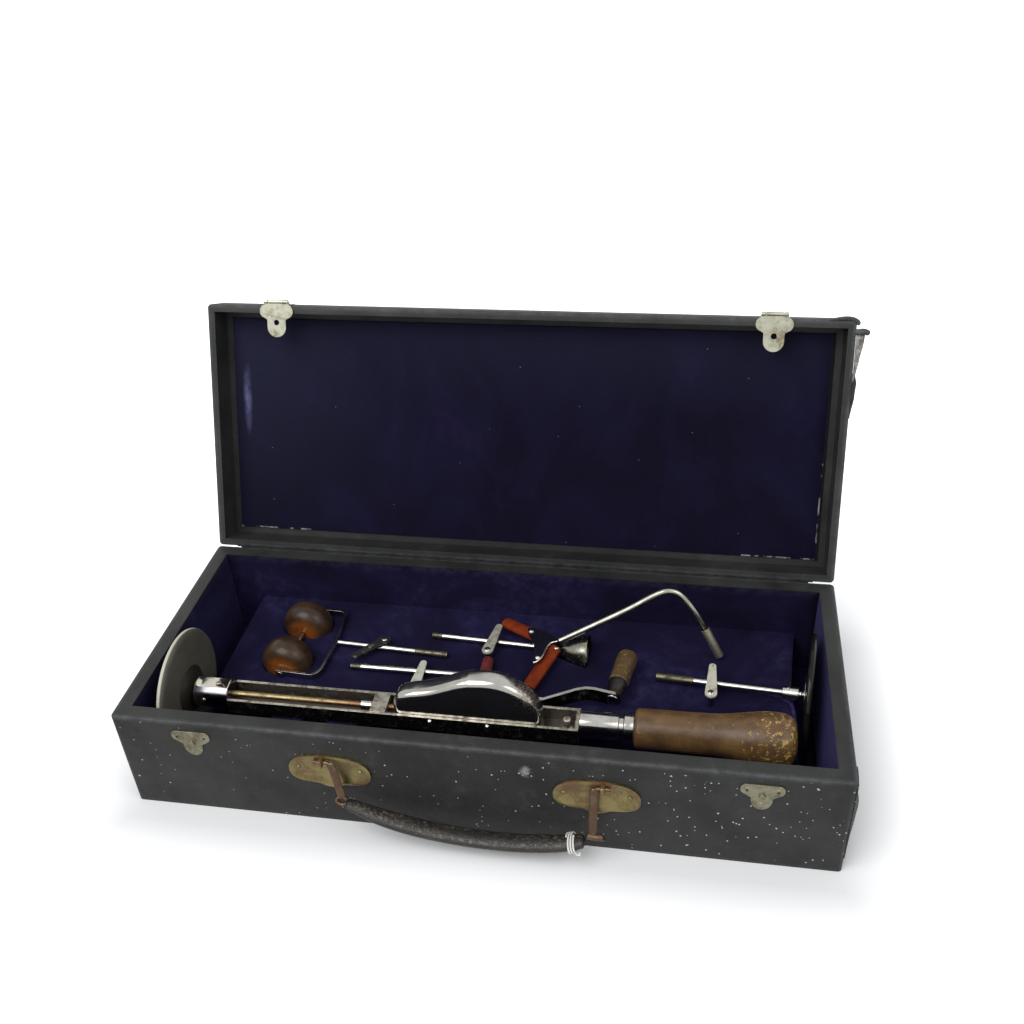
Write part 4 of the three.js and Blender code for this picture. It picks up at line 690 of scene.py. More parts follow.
depsgraph = bpy.context.evaluated_depsgraph_get()
swollen = [vert.co.copy() for vert in lid_pad.evaluated_get(depsgraph).data.vertices]
bpy.context.scene.frame_set(1)
lid_pad.modifiers.clear()
for vert, flat, puffed in zip(lid_pad.data.vertices, flat_pad, swollen):
    u, v = abs(flat.x) / pad_x, abs(flat.y + half_deep) / pad_y
    crown = 0.0009 * math.sqrt(max(0, (1 - u ** 6) * (1 - v ** 6)))
    move = puffed - flat
    move.length = min(move.length, 0.0005) if move.length > 0 else 0
    if flat.z < pad_back - 0.001:
        hollow = noise.noise((flat.x * 14, flat.y * 14, 2.0)) * 0.00035 * (1 - max(u, v) ** 8)
        move += Vector((0, 0, hollow - crown))
    vert.co = flat + move
lid_pad.data.transform(lid_place)
edged(lid_pad, 0.0005, 2, 50)
carried(lid_pad, "lid", "velvet", "lid_pad")


# Nickel fittings on the front: catch plates that the hasps close over, and the handle's plates.
# The nickel has dulled grey-green, and rust and brown dirt come through on the handle's plates.
def plated(name, bright, dull, patches, rough, rust=None, spots=0.0, marks=None, metal=1.0):
    """Nickel or brass plate, bright and dull in patches, with spots of rust where it has any."""
    material, shader, place = paint(name, metallic=metal)
    cloud = clouds(place, patches, 8.0, 0.7)
    fine = clouds(place, 900.0, 4.0)
    tone = mixed(fade(cloud, 0.42, 0.62), bright, dull)
    if rust:
        pits = fade(maths("ADD", times(cloud, 0.7), times(fine, 0.3)), 0.58 - spots, 0.62 - spots)
        tone = mixed(pits, tone, rust)
        feed(shader, metallic=maths("SUBTRACT", metal, times(pits, 0.85 * metal)))
    if marks:
        tone = marks(place, fine, tone)
    feed(shader, base_color=tone, roughness=span(cloud, 0.35, 0.7, *rough))
    bumped(shader, fine, 0.12 + spots)
    return material


def plate_outline():
    """The handle plate's outline (mm): two lobes, a low crest and a point below."""
    half = [(14, 13), (28, 10), (28, -1), (28, -11), (14, -11.5), (8, -11.5), (6.5, -13)]
    corners = [(-14, 13), (0, 15.5)] + half + [(0, -16.5)] + [(-x, z) for x, z in reversed(half)]
    line = []
    for start, bend, end in zip(corners[::2], corners[1::2], corners[2::2]):
        for t in [i / 10 for i in range(10)]:
            line.append([(1 - t) ** 2 * a + 2 * t * (1 - t) * b + t * t * c
                         for a, b, c in zip(start, bend, end)])
    return line


def drawn_out(outline, way):
    """A prism: the face inside an outline (m), drawn out along a way."""
    bm = bmesh.new()
    face = bm.faces.new([bm.verts.new(point) for point in outline])
    grown = bmesh.ops.extrude_face_region(bm, geom=[face])["geom"]
    bmesh.ops.translate(bm, verts=[v for v in grown if isinstance(v, bmesh.types.BMVert)], vec=way)
    bmesh.ops.recalc_face_normals(bm, faces=bm.faces)
    return bm


catch_metal = plated("catch_nickel", (0.34, 0.32, 0.23), (0.20, 0.185, 0.125), 150.0, (0.3, 0.55),
                     (0.12, 0.09, 0.05), 0.02)
handle_metal = plated("rusty_nickel", (0.30, 0.25, 0.115), (0.165, 0.125, 0.052), 75.0, (0.28, 0.5),
                      (0.125, 0.062, 0.026), 0.06)
catch_middle, catch_stretch, plate_z = 0.0678, 1.28, 49.7
for side, plate_x, lug_x in (("left", -92.0, -96.0), ("right", 84.0, 88.0)):
    plate = softened("catch_fitting_" + side, "catch_" + side, catch_metal, "case", "aged_nickel", 0.00025)
    for vert in plate.data.vertices:
        vert.co.z = catch_middle + (vert.co.z - catch_middle) * catch_stretch
    rim = [((plate_x + x) / 1000, -half_deep, (plate_z + z) / 1000) for x, z in plate_outline()]
    bm = drawn_out(rim, (0, -0.0013, 0))
    for wide, deep in ((2.2, 0.45), (1.6, -0.55)):
        front = [f for f in bm.faces if len(f.verts) > 20 and f.calc_center_median().y < -0.0960]
        bmesh.ops.inset_region(bm, faces=front, thickness=wide / 1000, depth=deep / 1000)
    plate = new_piece("handle_fitting_" + side, bm, handle_metal, 60)
    carried(plate, "case", "aged_nickel", "handle_plate_" + side)
    bm = box((0.0030, 0.0052, 0.0064), (lug_x / 1000, -0.0991, 0.060))
    rounded(bm, bm.edges, 0.0009)
    carried(new_piece("handle_lug_" + side, bm, handle_metal, 60), "case", "aged_nickel")
    for end, dx in (("left", -21), ("right", 21)):
        bm = bmesh.new()
        bmesh.ops.create_uvsphere(bm, u_segments=20, v_segments=10, radius=0.0016)
        bmesh.ops.scale(bm, verts=bm.verts, vec=(1, 0.5, 1))
        bmesh.ops.translate(bm, verts=bm.verts, vec=((plate_x + dx) / 1000, -0.0969, (plate_z + 2) / 1000))
        carried(new_piece(f"plate_pin_{side}_{end}", bm, handle_metal, 60), "case", "aged_nickel")

# painted shade: holes and screw slots are dark discs and bars that stand in for the shade inside them
hole_shade = paint("painted_hole_shade", base_color=(0.012, 0.011, 0.01, 1), roughness=0.8)[0]
for x in (-0.1945, -0.1755, 0.1755, 0.1945):
    bm = bmesh.new()
    bmesh.ops.create_circle(bm, cap_ends=True, segments=20, radius=0.0008)
    bmesh.ops.transform(bm, verts=bm.verts, matrix=Matrix.Translation((x, -0.09697, 0.0696)) @
                        Matrix.Rotation(math.radians(90), 4, "X"))
    hole = new_piece(f"catch_hole_{'r' if x > 0 else 'l'}{abs(x):.4f}", bm, hole_shade)
    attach(hole, "case")


# Hasps: stamped from pale nickelled sheet with two round lobes, a tongue and one hole. Each
# swings on a pin between two knuckles of a leaf on the lid's rim.
hasp_metal = plated("hasp_nickel", (0.52, 0.52, 0.43), (0.31, 0.30, 0.205), 110.0, (0.24, 0.45),
                    (0.20, 0.16, 0.10), 0.015)
for side in ("left", "right"):
    softened("hasp_plate_" + side, "hasp_" + side, hasp_metal, "hasp_" + side, "nickel", 0.0003)
    softened("leaf_" + side, "hasp_leaf_" + side, hasp_metal, "lid", "aged_nickel", 0.00025)


# Carry handle: a stiff stitched leather grip, worn pale along its edges, with a painted highlight
# along its upper ridge. Its ends are held by bent wire loops that turn in the lugs, and white string is bound
# round its right end.
handle_place = Matrix.Translation((0, -0.0985, 0.060)) @ Matrix.Rotation(math.radians(-13), 4, "X")

grip_leather, shader, place = paint("handle_leather", roughness=0.45)
x, y, z = axes(place)
cloud = clouds(place, 70.0, 7.0, 0.7)
tone = mixed(fade(cloud, 0.38, 0.62), (0.010, 0.009, 0.0085), (0.026, 0.022, 0.019))
# the pale ridge, rubbed specks with a painted highlight over them, follows the grip's sag, a parabola along X
sag = maths("ADD", times(x, x, 1.916), times(x, -0.0617))
over_ridge = maths("SUBTRACT", maths("SUBTRACT", z, sag), 0.0133)
ridge_wear_and_highlight = span(maths("ABSOLUTE", maths("SUBTRACT", over_ridge, 0.0036)), 0.0002, 0.0013, 0.75, 0.0)
flaked = fade(clouds(place, 420.0, 6.0, 0.7), 0.5, 0.62)
worn = most(times(ridge_wear_and_highlight, flaked), times(fade(cloud, 0.58, 0.72), 0.12))
feed(shader, base_color=laid(tone, (0.15, 0.125, 0.095), worn))
bumped(shader, fade(cracks(place, 420.0), 0.0, 0.2), 0.5, 0.0003)
grip_route = [(-80.4, 0, -30.3), (-71, 0, -33.9), (-57.7, 0, -38.6), (-41, 0, -42.6), (-24, 0, -45.6),
              (-1, 0, -47.9), (22.5, 0, -48.5), (42, 0, -47.5), (62, 0, -45), (77.6, 0, -41.2)]
grip_width = [(0, 0.3), (0.014, 0.55), (0.06, 0.68), (0.2, 0.9), (0.32, 1.0), (0.82, 1.0), (0.95, 0.88),
              (0.986, 0.74), (1, 0.35)]
swept("leather_grip", grip_route, (4.7, 7.3), grip_leather, "handle", "brown_leather", "carry_handle",
      place=handle_place, per=8, taper=grip_width, sides=36)

loop_rust = plated("loop_steel", (0.17, 0.115, 0.075), (0.10, 0.062, 0.038), 130.0, (0.38, 0.6),
                   (0.075, 0.034, 0.016), 0.07)
for side, pin_route, strap_route in [
    ("left", [(-101, 0, 0), (-94, 0, 0), (-90.8, 0, -0.4), (-89.6, 0, -2.2)],
     [(-90.4, 0, -0.2), (-88.4, 0, -4), (-86.3, 0, -12), (-84.2, 0, -21), (-83.0, 0, -26.0)]),
    ("right", [(93, 0, 0), (86, 0, 0), (83.6, 0, -1), (82.8, 0, -4)],
     [(83.8, 0, -0.4), (82.7, 0, -5), (82.4, 0, -18), (82.3, 0, -32.6), (82.2, 0, -36)]),
]:
    swept("loop_pin_" + side, pin_route, (1.3, 1.3), loop_rust, "handle", "steel", place=handle_place)
    swept("loop_strap_" + side, strap_route, (2.9, 1.35), loop_rust, "handle", "steel", "handle_loop_" + side,
          place=handle_place, taper=[(0, 0.6), (0.08, 0.95), (0.9, 1.0), (1, 0.8)])
ring = [(-83.6 + 3.5 * math.cos(turn / 4), 0.3, -28.6 + 3.0 * math.sin(turn / 4)) for turn in range(1, 26)]
swept("loop_eye_left", ring, (1.15, 1.5), loop_rust, "handle", "steel", place=handle_place, per=2)
eye_route = [(78.6, 0, -36.4), (79.4, 0, -36.6), (84, 0, -37.2), (88.6, 0, -37.0), (89.4, 0, -36.8)]
swept("loop_eye_right", eye_route, (2.3, 2.3), loop_rust, "handle", "steel", place=handle_place,
      taper=[(0, 0.5), (0.12, 1.0), (0.88, 1.0), (1, 0.5)])

cotton, shader, place = paint("cotton_string", roughness=0.85, base_color=(0.72, 0.71, 0.68, 1))
twist = after("TexWave", {"Vector": place, "Scale": 900.0, "Distortion": 2.0}, bands_direction="DIAGONAL")
bumped(shader, twist.outputs["Fac"], 0.5)
centre, run = Vector((69.3, 0, -43.3)), Vector((1, 0, 0.32)).normalized()
rise, string_turns, string_pitch = Vector((-run.z, 0, run.x)), 3, 1.7
coil = []
for i in range(string_turns * 16 + 1):
    turn = 2 * math.pi * i / 16
    onward = (i / 16 - string_turns / 2) * string_pitch
    beside = rise * (5.2 * math.cos(turn)) + Vector((0, 7.9 * math.sin(turn), 0))
    coil.append(tuple(centre + run * onward + beside))
swept("bound_string", coil, (0.62, 0.62), cotton, "handle", "string", "handle_string", side=tuple(run),
      place=handle_place, per=2, sides=10)
tail_route = [(71.2, -4.6, -46.7), (72.2, -5.2, -47.6), (74.2, -5.4, -48.4), (75.2, -5.2, -47.4),
              (74.4, -5.0, -46.6)]
swept("string_tail", tail_route, (0.62, 0.62), cotton, "handle", "string", place=handle_place, per=5,
      sides=10)


# Instrument frame: a folded brass channel, nickelled, with a bearing bridge, an end plate and a
# knurled thumb screw. Plating is pitted on the bridge; the rails' tops are painted bright as highlight and
# the walls' sides dark as shade.
def along(origin, direction=(0, 0, 1)):
    """A place at origin (mm) whose own Z axis points along direction."""
    turn = Vector((0, 0, 1)).rotation_difference(Vector(direction)).to_matrix().to_4x4()
    return Matrix.Translation(Vector(origin) / 1000) @ turn


def turned(name, profile, place, material, body, slot, *replaced, steps=72, edge=0.0, smooth_deg=40):
    """A round piece: its outline of (along, radius) in mm is spun about the Z axis of its place."""
    bm = bmesh.new()
    line = [bm.verts.new((radius / 1000, 0, length / 1000)) for length, radius in profile]
    links = [bm.edges.new(pair) for pair in zip(line, line[1:])]
    bmesh.ops.spin(bm, geom=line + links, cent=(0, 0, 0), axis=(0, 0, 1), angle=2 * math.pi, steps=steps,
                   use_merge=True)
    bmesh.ops.remove_doubles(bm, verts=bm.verts, dist=1e-6)
    bmesh.ops.recalc_face_normals(bm, faces=bm.faces)
    bmesh.ops.transform(bm, matrix=place, verts=bm.verts)
    piece = new_piece(name, bm, material, smooth_deg)
    if edge:
        edged(piece, edge / 1000, 3, 38)
    return carried(piece, body, slot, *replaced)


axis_y, axis_z = -38.5, 54.0
drive_line = along((0, axis_y, axis_z), (1, 0, 0))
bright_nickel = plated("bright_nickel", (0.50, 0.49, 0.46), (0.36, 0.35, 0.32), 55.0, (0.10, 0.26))


def frame_marks(at, fine, tone):
    """The rails' tops, the bridge and the screws keep the bright plating, the tops as a painted highlight;
    the walls' sides and the inside are painted dark as shade, the outside near black.
    """
    x, y, z = axes(at)
    side = maths("ABSOLUTE", maths("ADD", y, -axis_y / 1000))
    inside = maths("LESS_THAN", side, 0.0102)
    top = span(z, 0.0567, 0.0570, 0.0, 1.0)
    bridge = times(maths("COMPARE", x, -0.072, 0.0056), inside)
    screws = maths("GREATER_THAN", side, 0.01062)
    from_thumb = vector("MULTIPLY", vector("SUBTRACT", at, (0.0582, axis_y / 1000, 0)), (1, 1, 0))
    thumb = maths("LESS_THAN", length_of(from_thumb), 0.0043)
    # painted shade: the outer sides near black, the inside a dull dark
    dull = mixed(inside, (0.014, 0.014, 0.016), (0.125, 0.112, 0.095))
    dull = laid(dull, (0.16, 0.14, 0.11), fade(fine, 0.5, 0.7), 0.35)
    return mixed(most(top, bridge, screws, thumb), dull, tone)


pitted_nickel = plated("pitted_nickel", (0.50, 0.47, 0.40), (0.20, 0.18, 0.14), 160.0, (0.22, 0.5),
                       (0.10, 0.075, 0.04), 0.03, frame_marks, 0.86)
softened("channel_frame", "frame_channel", pitted_nickel, "instrument", "nickel", 0.0003, 2, 45, 50)


# Gear cover: one deep-drawn nickel shell with a full round edge, polished. Its flat sides mirror the
# velvet, and the plating has worn brown on the right shoulder above the crank.
cover_metal, shader, place = paint("cover_nickel", metallic=0.98)
cloud = clouds(place, 45.0, 6.0, 0.65)
fine = clouds(place, 600.0, 5.0, 0.7)
tone = mixed(fade(cloud, 0.35, 0.7), (0.50, 0.49, 0.46), (0.34, 0.33, 0.30))
from_worn = length_of(vector("SUBTRACT", place, (0.033, -0.0385, 0.079)))
worn = times(span(from_worn, 0.006, 0.017, 1.0, 0.0), fade(fine, 0.44, 0.56))
feed(shader, base_color=laid(tone, (0.20, 0.155, 0.105), worn),
     roughness=maths("ADD", times(worn, 0.35), span(cloud, 0.3, 0.7, 0.08, 0.20)))
bumped(shader, fine, 0.05)

gear_x, cover_left, cover_radius, cover_half, cover_rim, cover_foot = 5.0, -61.5, 37.6, 8.3, 5.5, -7.0
crest = [(0.0, 5.0), (0.7, 10.5), (3.0, 15.8), (7.5, 19.4), (14.0, 21.8), (20.0, 23.2), (26.5, 25.0),
         (33.5, 27.8), (41.0, 31.4), (48.0, 34.6), (54.5, 36.6)]
outline = [(cover_left, cover_foot)] + rounded_line([(cover_left + dx, z) for dx, z in crest], 4)
for i in range(33):
    turn = math.radians(98) * (1 - i / 32)
    outline.append((gear_x + cover_radius * math.cos(turn), cover_radius * math.sin(turn)))
outline.append((gear_x + cover_radius, cover_foot))
front = [(x / 1000, (axis_y - cover_half) / 1000, (axis_z + z) / 1000) for x, z in outline]
bm = drawn_out(front, (0, 2 * cover_half / 1000, 0))
foot_z = (axis_z + cover_foot + 0.01) / 1000
rim_edges = {e for f in bm.faces if abs(f.normal.y) > 0.9 for e in f.edges}
rounded(bm, [e for e in rim_edges if max(v.co.z for v in e.verts) > foot_z], cover_rim / 1000, 9,
        clamp_overlap=False)
bmesh.ops.delete(bm, geom=[f for f in bm.faces if f.calc_center_median().z < foot_z], context="FACES_ONLY")
bmesh.ops.remove_doubles(bm, verts=bm.verts, dist=2e-5)
bmesh.ops.recalc_face_normals(bm, faces=bm.faces)
cover_shell = new_piece("cover_shell", bm, cover_metal, 60)
walled(cover_shell, 0.0008)
carried(cover_shell, "instrument", "nickel", "gear_cover")


# Gears: cut steel wheels inside the cover, greased and dark. A brass shaft runs along the channel
# to the head, with a nickelled collar against the bridge.
gear_steel = plated("greased_steel", (0.30, 0.28, 0.25), (0.15, 0.13, 0.10), 120.0, (0.25, 0.5),
                    (0.06, 0.04, 0.02), 0.02)
painted(gear_steel, "main_gear", "layshaft")


def brass_marks(at, fine, tone):
    """The brass turns copper red toward the bridge."""
    return laid(tone, (0.155, 0.070, 0.040), span(axes(at)[0], -0.135, -0.085, 0.0, 0.85))


shaft_brass = plated("shaft_brass", (0.30, 0.235, 0.125), (0.19, 0.145, 0.075), 120.0, (0.34, 0.55),
                     (0.10, 0.065, 0.035), 0.03, brass_marks)
softened("brass_shaft", "drive_shaft", shaft_brass, "drive_shaft", "brass", 0.00008, 1, 50, 50)
for name, x, body in (("gear_pin_small", -35.0, "layshaft"), ("gear_pin_main", gear_x, "crank")):
    turned(name, [(0, 0), (0.1, 0.9), (0.9, 1.5), (1.3, 1.7)], along((x, axis_y - 11.75, axis_z), (0, 1, 0)),
           bright_nickel, body, "steel", steps=24)
turned("shaft_collar", [(-86.0, 2.4), (-85.8, 3.75), (-78.2, 3.75), (-78.0, 2.4)], drive_line, bright_nickel,
       "drive_shaft", "brass", edge=0.3)


# Head: a turned nickel barrel with a flat filed on top and an oil hole. Behind the pad sits a dark
# turned chuck on the stem that strokes in and out of it.
flat_z = 9.8


def head_marks(at, fine, tone):
    """The filed flat is painted pale; the barrel round it is a darker copy of the nickel, a painted
    reflection of the dark lid.
    """
    flat = span(axes(at)[2], (axis_z + flat_z - 0.2) / 1000, (axis_z + flat_z - 0.05) / 1000, 0.0, 1.0)
    return laid(tone, (0.62, 0.59, 0.49), flat)


# painted reflection: the barrel's nickel is darker than the other nickel
head_nickel = plated("head_nickel", (0.27, 0.26, 0.28), (0.19, 0.18, 0.19), 55.0, (0.12, 0.24),
                     marks=head_marks)
head_shape = [(-207.5, 3.9), (-207.5, 9.3), (-206.3, 10.8), (-201.6, 10.8), (-201.5, 10.8), (-182.1, 10.8),
              (-182.0, 10.8), (-181.2, 10.5), (-181.0, 9.9), (-181.0, 2.6)]
head = turned("head_barrel", head_shape, drive_line, head_nickel, "instrument", "nickel", "head", steps=96)
for vert in head.data.vertices:
    if -0.2016 < vert.co.x < -0.1820:
        vert.co.z = min(vert.co.z, (axis_z + flat_z) / 1000)
hole_x = -190
# the oil hole is a dark disc of painted shade
turned("oil_hole", [(0, 0), (0, 1.3), (0.12, 1.35)], along((hole_x, axis_y, axis_z + flat_z - 0.08)),
       hole_shade, "instrument", "nickel", steps=24)
turned("oil_hole_lip", [(-0.1, 1.3), (0.16, 1.35), (0.2, 1.6), (-0.1, 1.9)],
       along((hole_x, axis_y, axis_z + flat_z)), bright_nickel, "instrument", "nickel", steps=32)


def slotted_screw(name, origin, direction, radius, body, slot, turn_deg=20.0):
    """A low domed screw head (mm) with a sawn slot, drawn as a dark bar of painted shade."""
    place = along(origin, direction) @ Matrix.Rotation(math.radians(turn_deg), 4, "Z")
    turned(name, rounded_line([(0, radius), (0.25, radius), (0.62, radius * 0.72), (0.8, 0.0)], 3), place,
           bright_nickel, body, slot, steps=28)
    bm = box((radius * 0.00165, radius * 0.00035, 0.0003), (0, 0, 0))
    rounded(bm, bm.edges, 0.00005, 1)
    bmesh.ops.transform(bm, verts=bm.verts, matrix=place @ Matrix.Translation((0, 0, 0.00068)))
    carried(new_piece(name + "_slot", bm, hole_shade), body, slot)


slotted_screw("head_screw", (-198.5, axis_y - 10.6, axis_z + 1.7), (0, -1, 0.15), 1.7, "instrument", "nickel")

chuck_dark, shader, place = paint("chuck_dark", roughness=0.42)
cloud = fade(clouds(place, 90.0, 6.0), 0.35, 0.65)
feed(shader, base_color=mixed(cloud, (0.010, 0.009, 0.006), (0.024, 0.021, 0.015)))
turned("chuck_boss", rounded_line([(-212.1, 0), (-212.1, 16.6), (-211.4, 17.0), (-210.4, 14.6), (-209.3, 9.0),
                                   (-208.3, 6.2), (-208.2, 3.7), (-200.5, 3.7)], 3),
       drive_line, chuck_dark, "chuck", "olive_rubber", "chuck", steps=96)


# Disc pad: a soft vulcanised rubber disc, olive grey and dusty, its rim oxidised to a cream colour.
# It is pushed over the chuck's boss and held there by its own grip.
pad_rubber, shader, place = paint("pad_rubber", roughness=0.62)
from_centre = vector("SUBTRACT", place, (-0.2147, axis_y / 1000, axis_z / 1000))
radius = length_of(vector("MULTIPLY", from_centre, (0, 1, 1)))
tone = mixed(fade(clouds(place, 60.0, 7.0, 0.65), 0.35, 0.68), (0.056, 0.052, 0.038), (0.086, 0.080, 0.062))
rim, behind = span(radius, 0.0430, 0.0437, 0.0, 1.0), span(axes(from_centre)[0], -0.0002, 0.0004, 1.0, 0.0)
feed(shader, base_color=laid(tone, (0.47, 0.45, 0.36), rim, behind))
bumped(shader, clouds(place, 1400.0, 3.0), 0.2)
disc_shape = [(-217.0, 0), (-217.0, 43.3), (-216.7, 43.8), (-216.2, 44.0), (-215.3, 44.0), (-214.3, 43.7),
              (-213.4, 43.0), (-212.8, 42.0), (-212.4, 40.6), (-212.3, 39.0), (-212.3, 0)]
turned("rubber_disc", disc_shape, drive_line, pad_rubber, "chuck", "olive_rubber", "disc_pad", steps=128)


# Ferrule and grip: a polished ferrule with one turned groove, and a turned wooden grip in mottled
# brown varnish, chipped down to the golden ground toward its full end.
ferrule_shape = [(67.0, 0), (67.0, 8.6), (67.4, 9.0), (92.6, 9.0), (93.2, 8.6), (93.6, 7.7), (96.2, 7.7),
                 (96.6, 9.3), (97.2, 10.0), (103.4, 10.0), (103.8, 9.7), (103.8, 0)]
turned("grip_ferrule", ferrule_shape, drive_line, bright_nickel, "instrument", "nickel", "ferrule", steps=96)


def varnish(name, ground, shade, chip, chips_from, chips_to, coat):
    """Mottled varnish over wood; chips grow between two places along X (m)."""
    material, shader, place = paint(name, specular_ior_level=0.3, coat_weight=coat, coat_roughness=0.22)
    lines = clouds(stretched(place, (0.18, 1.0, 1.0)), 520.0, 5.0, 0.6)
    flakes = clouds(place, 340.0, 8.0, 0.72, 0.4)
    tone = mixed(fade(clouds(place, 55.0, 7.0, 0.68), 0.36, 0.66), shade, ground)
    tone = laid(tone, shade, fade(lines, 0.45, 0.7), 0.4)
    amount = span(axes(place)[0], chips_from, chips_to, 0.645, 0.53)
    chipped = after("Clamp", {0: times(maths("SUBTRACT", flakes, amount), 26.0)}).outputs[0]
    feed(shader, base_color=mixed(chipped, tone, chip), roughness=span(flakes, 0.3, 0.7, 0.28, 0.5))
    bumped(shader, maths("SUBTRACT", lines, times(chipped, 1.2)), 0.22, 0.0003)
    return material


grip_from, grip_long, grip_radius = 104.0, 105.5, 18.3
grip_varnish = varnish("grip_varnish", (0.160, 0.088, 0.033), (0.066, 0.036, 0.015), (0.44, 0.285, 0.080),
                       0.150, 0.205, 0.12)
grip_shape = [(0, 0.628), (0.0142, 0.71), (0.0569, 0.738), (0.3886, 0.749), (0.5308, 0.781),
              (0.6445, 0.863), (0.7488, 0.956), (0.8436, 1), (0.9052, 0.989), (0.9526, 0.907),
              (0.9839, 0.738), (0.9981, 0.464)]
grip_line = rounded_line([(grip_from + share * grip_long, out * grip_radius) for share, out in grip_shape], 5)
turned("turned_grip", [(grip_from, 0)] + grip_line + [(grip_from + grip_long, 0)], drive_line, grip_varnish,
       "instrument", "grip_brown", "grip", steps=128, smooth_deg=60)


# Crank: a nickelled strip bent out over the deck, riveted to the gear's axle. Its wooden knob turns
# on a steel spindle and sits in a dark tapered collar; its mustard paint is mottled and rubbed.
def crank_marks(at, fine, tone):
    """The strip's upper edge is painted bright as a highlight; its sides are painted dark as shade."""
    return laid(tone, (0.030, 0.029, 0.027), span(axes(at)[2], 0.0588, 0.0592, 1.0, 0.0))


# painted highlight: the crank's nickel is paler than the other nickel
crank_nickel = plated("crank_nickel", (0.70, 0.68, 0.60), (0.50, 0.48, 0.41), 120.0, (0.28, 0.5),
                      (0.22, 0.18, 0.11), 0.02, crank_marks)
softened("crank_strip", "crank_arm", crank_nickel, "crank", "nickel", 0.0007, 4, 45, 60)
softened("crank_spindle", "knob_spindle", bright_nickel, "crank", "nickel", 0.0002, 2, 50, 50)
lean = math.radians(9.5)
knob_way = Vector((math.sin(lean), math.cos(lean), 0))
knob_place = along((87.0, axis_y + 26.2, axis_z), knob_way)
collar_dark = plated("collar_black", (0.045, 0.042, 0.038), (0.020, 0.018, 0.016), 150.0, (0.3, 0.55),
                     (0.03, 0.02, 0.012), 0.02)
screw_at = knob_place @ Vector((0, 0, -0.0012)) * 1000
slotted_screw("knob_screw", screw_at, -knob_way, 3.4, "crank", "nickel", 30)
collar_shape = [(1.4, 2.7), (1.4, 4.3), (4.4, 4.9), (9.9, 6.3), (13.4, 7.0), (14.4, 7.0), (14.9, 6.5),
                (14.9, 3.0)]
turned("knob_collar", rounded_line(collar_shape, 3), knob_place, collar_dark, "knob", "knob_wood", steps=64)
knob_paint = varnish("knob_paint", (0.110, 0.066, 0.024), (0.050, 0.030, 0.013), (0.27, 0.175, 0.055),
                     0.02, 0.16, 0.05)
knob_shape = [(15.0, 6.3), (15.9, 7.15), (26.0, 7.1), (36.2, 7.45), (42.4, 7.3), (44.2, 6.5), (45.1, 4.9)]
turned("knob_barrel", [(14.9, 2.7)] + rounded_line(knob_shape, 4) + [(45.2, 0)], knob_place, knob_paint,
       "knob", "knob_wood", "crank_knob", smooth_deg=50)
slotted_screw("axle_screw", (gear_x, axis_y + 17.9, axis_z), (0, 1, 0), 3.6, "crank", "nickel", 65)


# A puckered fold of the deck's velvet, where it is drawn round the grip and down to the end wall.
# Its crest is rubbed, and the light it catches is painted into its colour as a lighter violet.
def fold_marks(at, combed, tone):
    # painted highlight along the fold's crest
    return laid(tone, (0.060, 0.045, 0.170), fade(combed, 0.3, 0.65))


fold_velvet = velvet("fold_velvet", worn=1.0, marks=fold_marks)
fold_route = [(164, 20, 41.3), (181, 19.5, 41.3), (199, 16, 41.3), (205, 13, 41.2), (209.5, 9, 41.0),
              (211, -2, 41.0), (211.5, -14, 41.0)]
swept("velvet_fold", fold_route, (1.2, 0.9), fold_velvet, "case", "velvet", side=(0, 0, 1))


# Rollers: two turned hard-rubber rollers on one axle in a bent nickelled yoke. Their skin is a
# glossy dark brown, with a painted orange glow toward the bore.
roller_skin, shader, place = paint("roller_rubber", roughness=0.3, specular_ior_level=0.22, coat_weight=0.08,
                                   coat_roughness=0.12)
cloud = clouds(place, 85.0, 7.0, 0.65)
from_axle = vector("SUBTRACT", place, (axle_x / 1000, 0, lying / 1000))
reach = length_of(vector("CROSS_PRODUCT", from_axle, (0.06255, 0.99804, 0)))
tone = mixed(fade(cloud, 0.36, 0.66), (0.024, 0.0125, 0.007), (0.052, 0.028, 0.015))
# painted glow: orange is laid on toward the bore
bore_glow = span(reach, 0.0070, 0.0140, 1.0, 0.0)
feed(shader, base_color=laid(tone, (0.230, 0.062, 0.008), bore_glow, fade(cloud, 0.25, 0.55)))
bumped(shader, clouds(place, 900.0, 4.0), 0.08)

half_roller = [(away, reach) for away, reach in roller_line[:-2]] + [(12.0, 9.0)]
roller_shape = [(-away, reach) for away, reach in half_roller[:0:-1]] + half_roller
roller_shape = [(-11.6, 1.9), (-11.9, 6.5)] + rounded_line(roller_shape, 5) + [(11.9, 6.5), (11.6, 1.9)]
for name, y in zip(("roller_front", "roller_back"), roller_middles):
    place = along((axle_x + axle_slope * y, y, lying), (axle_slope, 1, 0))
    turned("rubber_" + name, roller_shape, place, roller_skin, name, "roller_brown", name, steps=112,
           smooth_deg=60)
softened("yoke_strip", "roller_yoke", bright_nickel, "case", "nickel", 0.0006, 3, 45, 50)
softened("axle_pin", "roller_axle", bright_nickel, "case", "nickel", 0.0002, 2, 50, 50)


# Rods: round nickelled steel, each with a cut thread on one end whose plating has gone dark, and a
# dull red rubber tip beside the second rod.
def thread(name, origin, direction, length, radius, slot, *replaced, pitch=0.85, core=0.0):
    """A threaded end (mm) from origin along direction."""
    outline = [(0, core), (0, radius * 0.9)]
    for i in range(int(length / pitch)):
        outline += [((i + 0.25) * pitch, radius), ((i + 0.5) * pitch, radius),
                    ((i + 0.75) * pitch, radius * 0.88), ((i + 1) * pitch, radius * 0.88)]
    outline += [(length, radius * 0.9), (length, core)]
    return turned(name, outline, along(origin, direction), thread_metal, "case", slot, *replaced, steps=28,
                  smooth_deg=25)


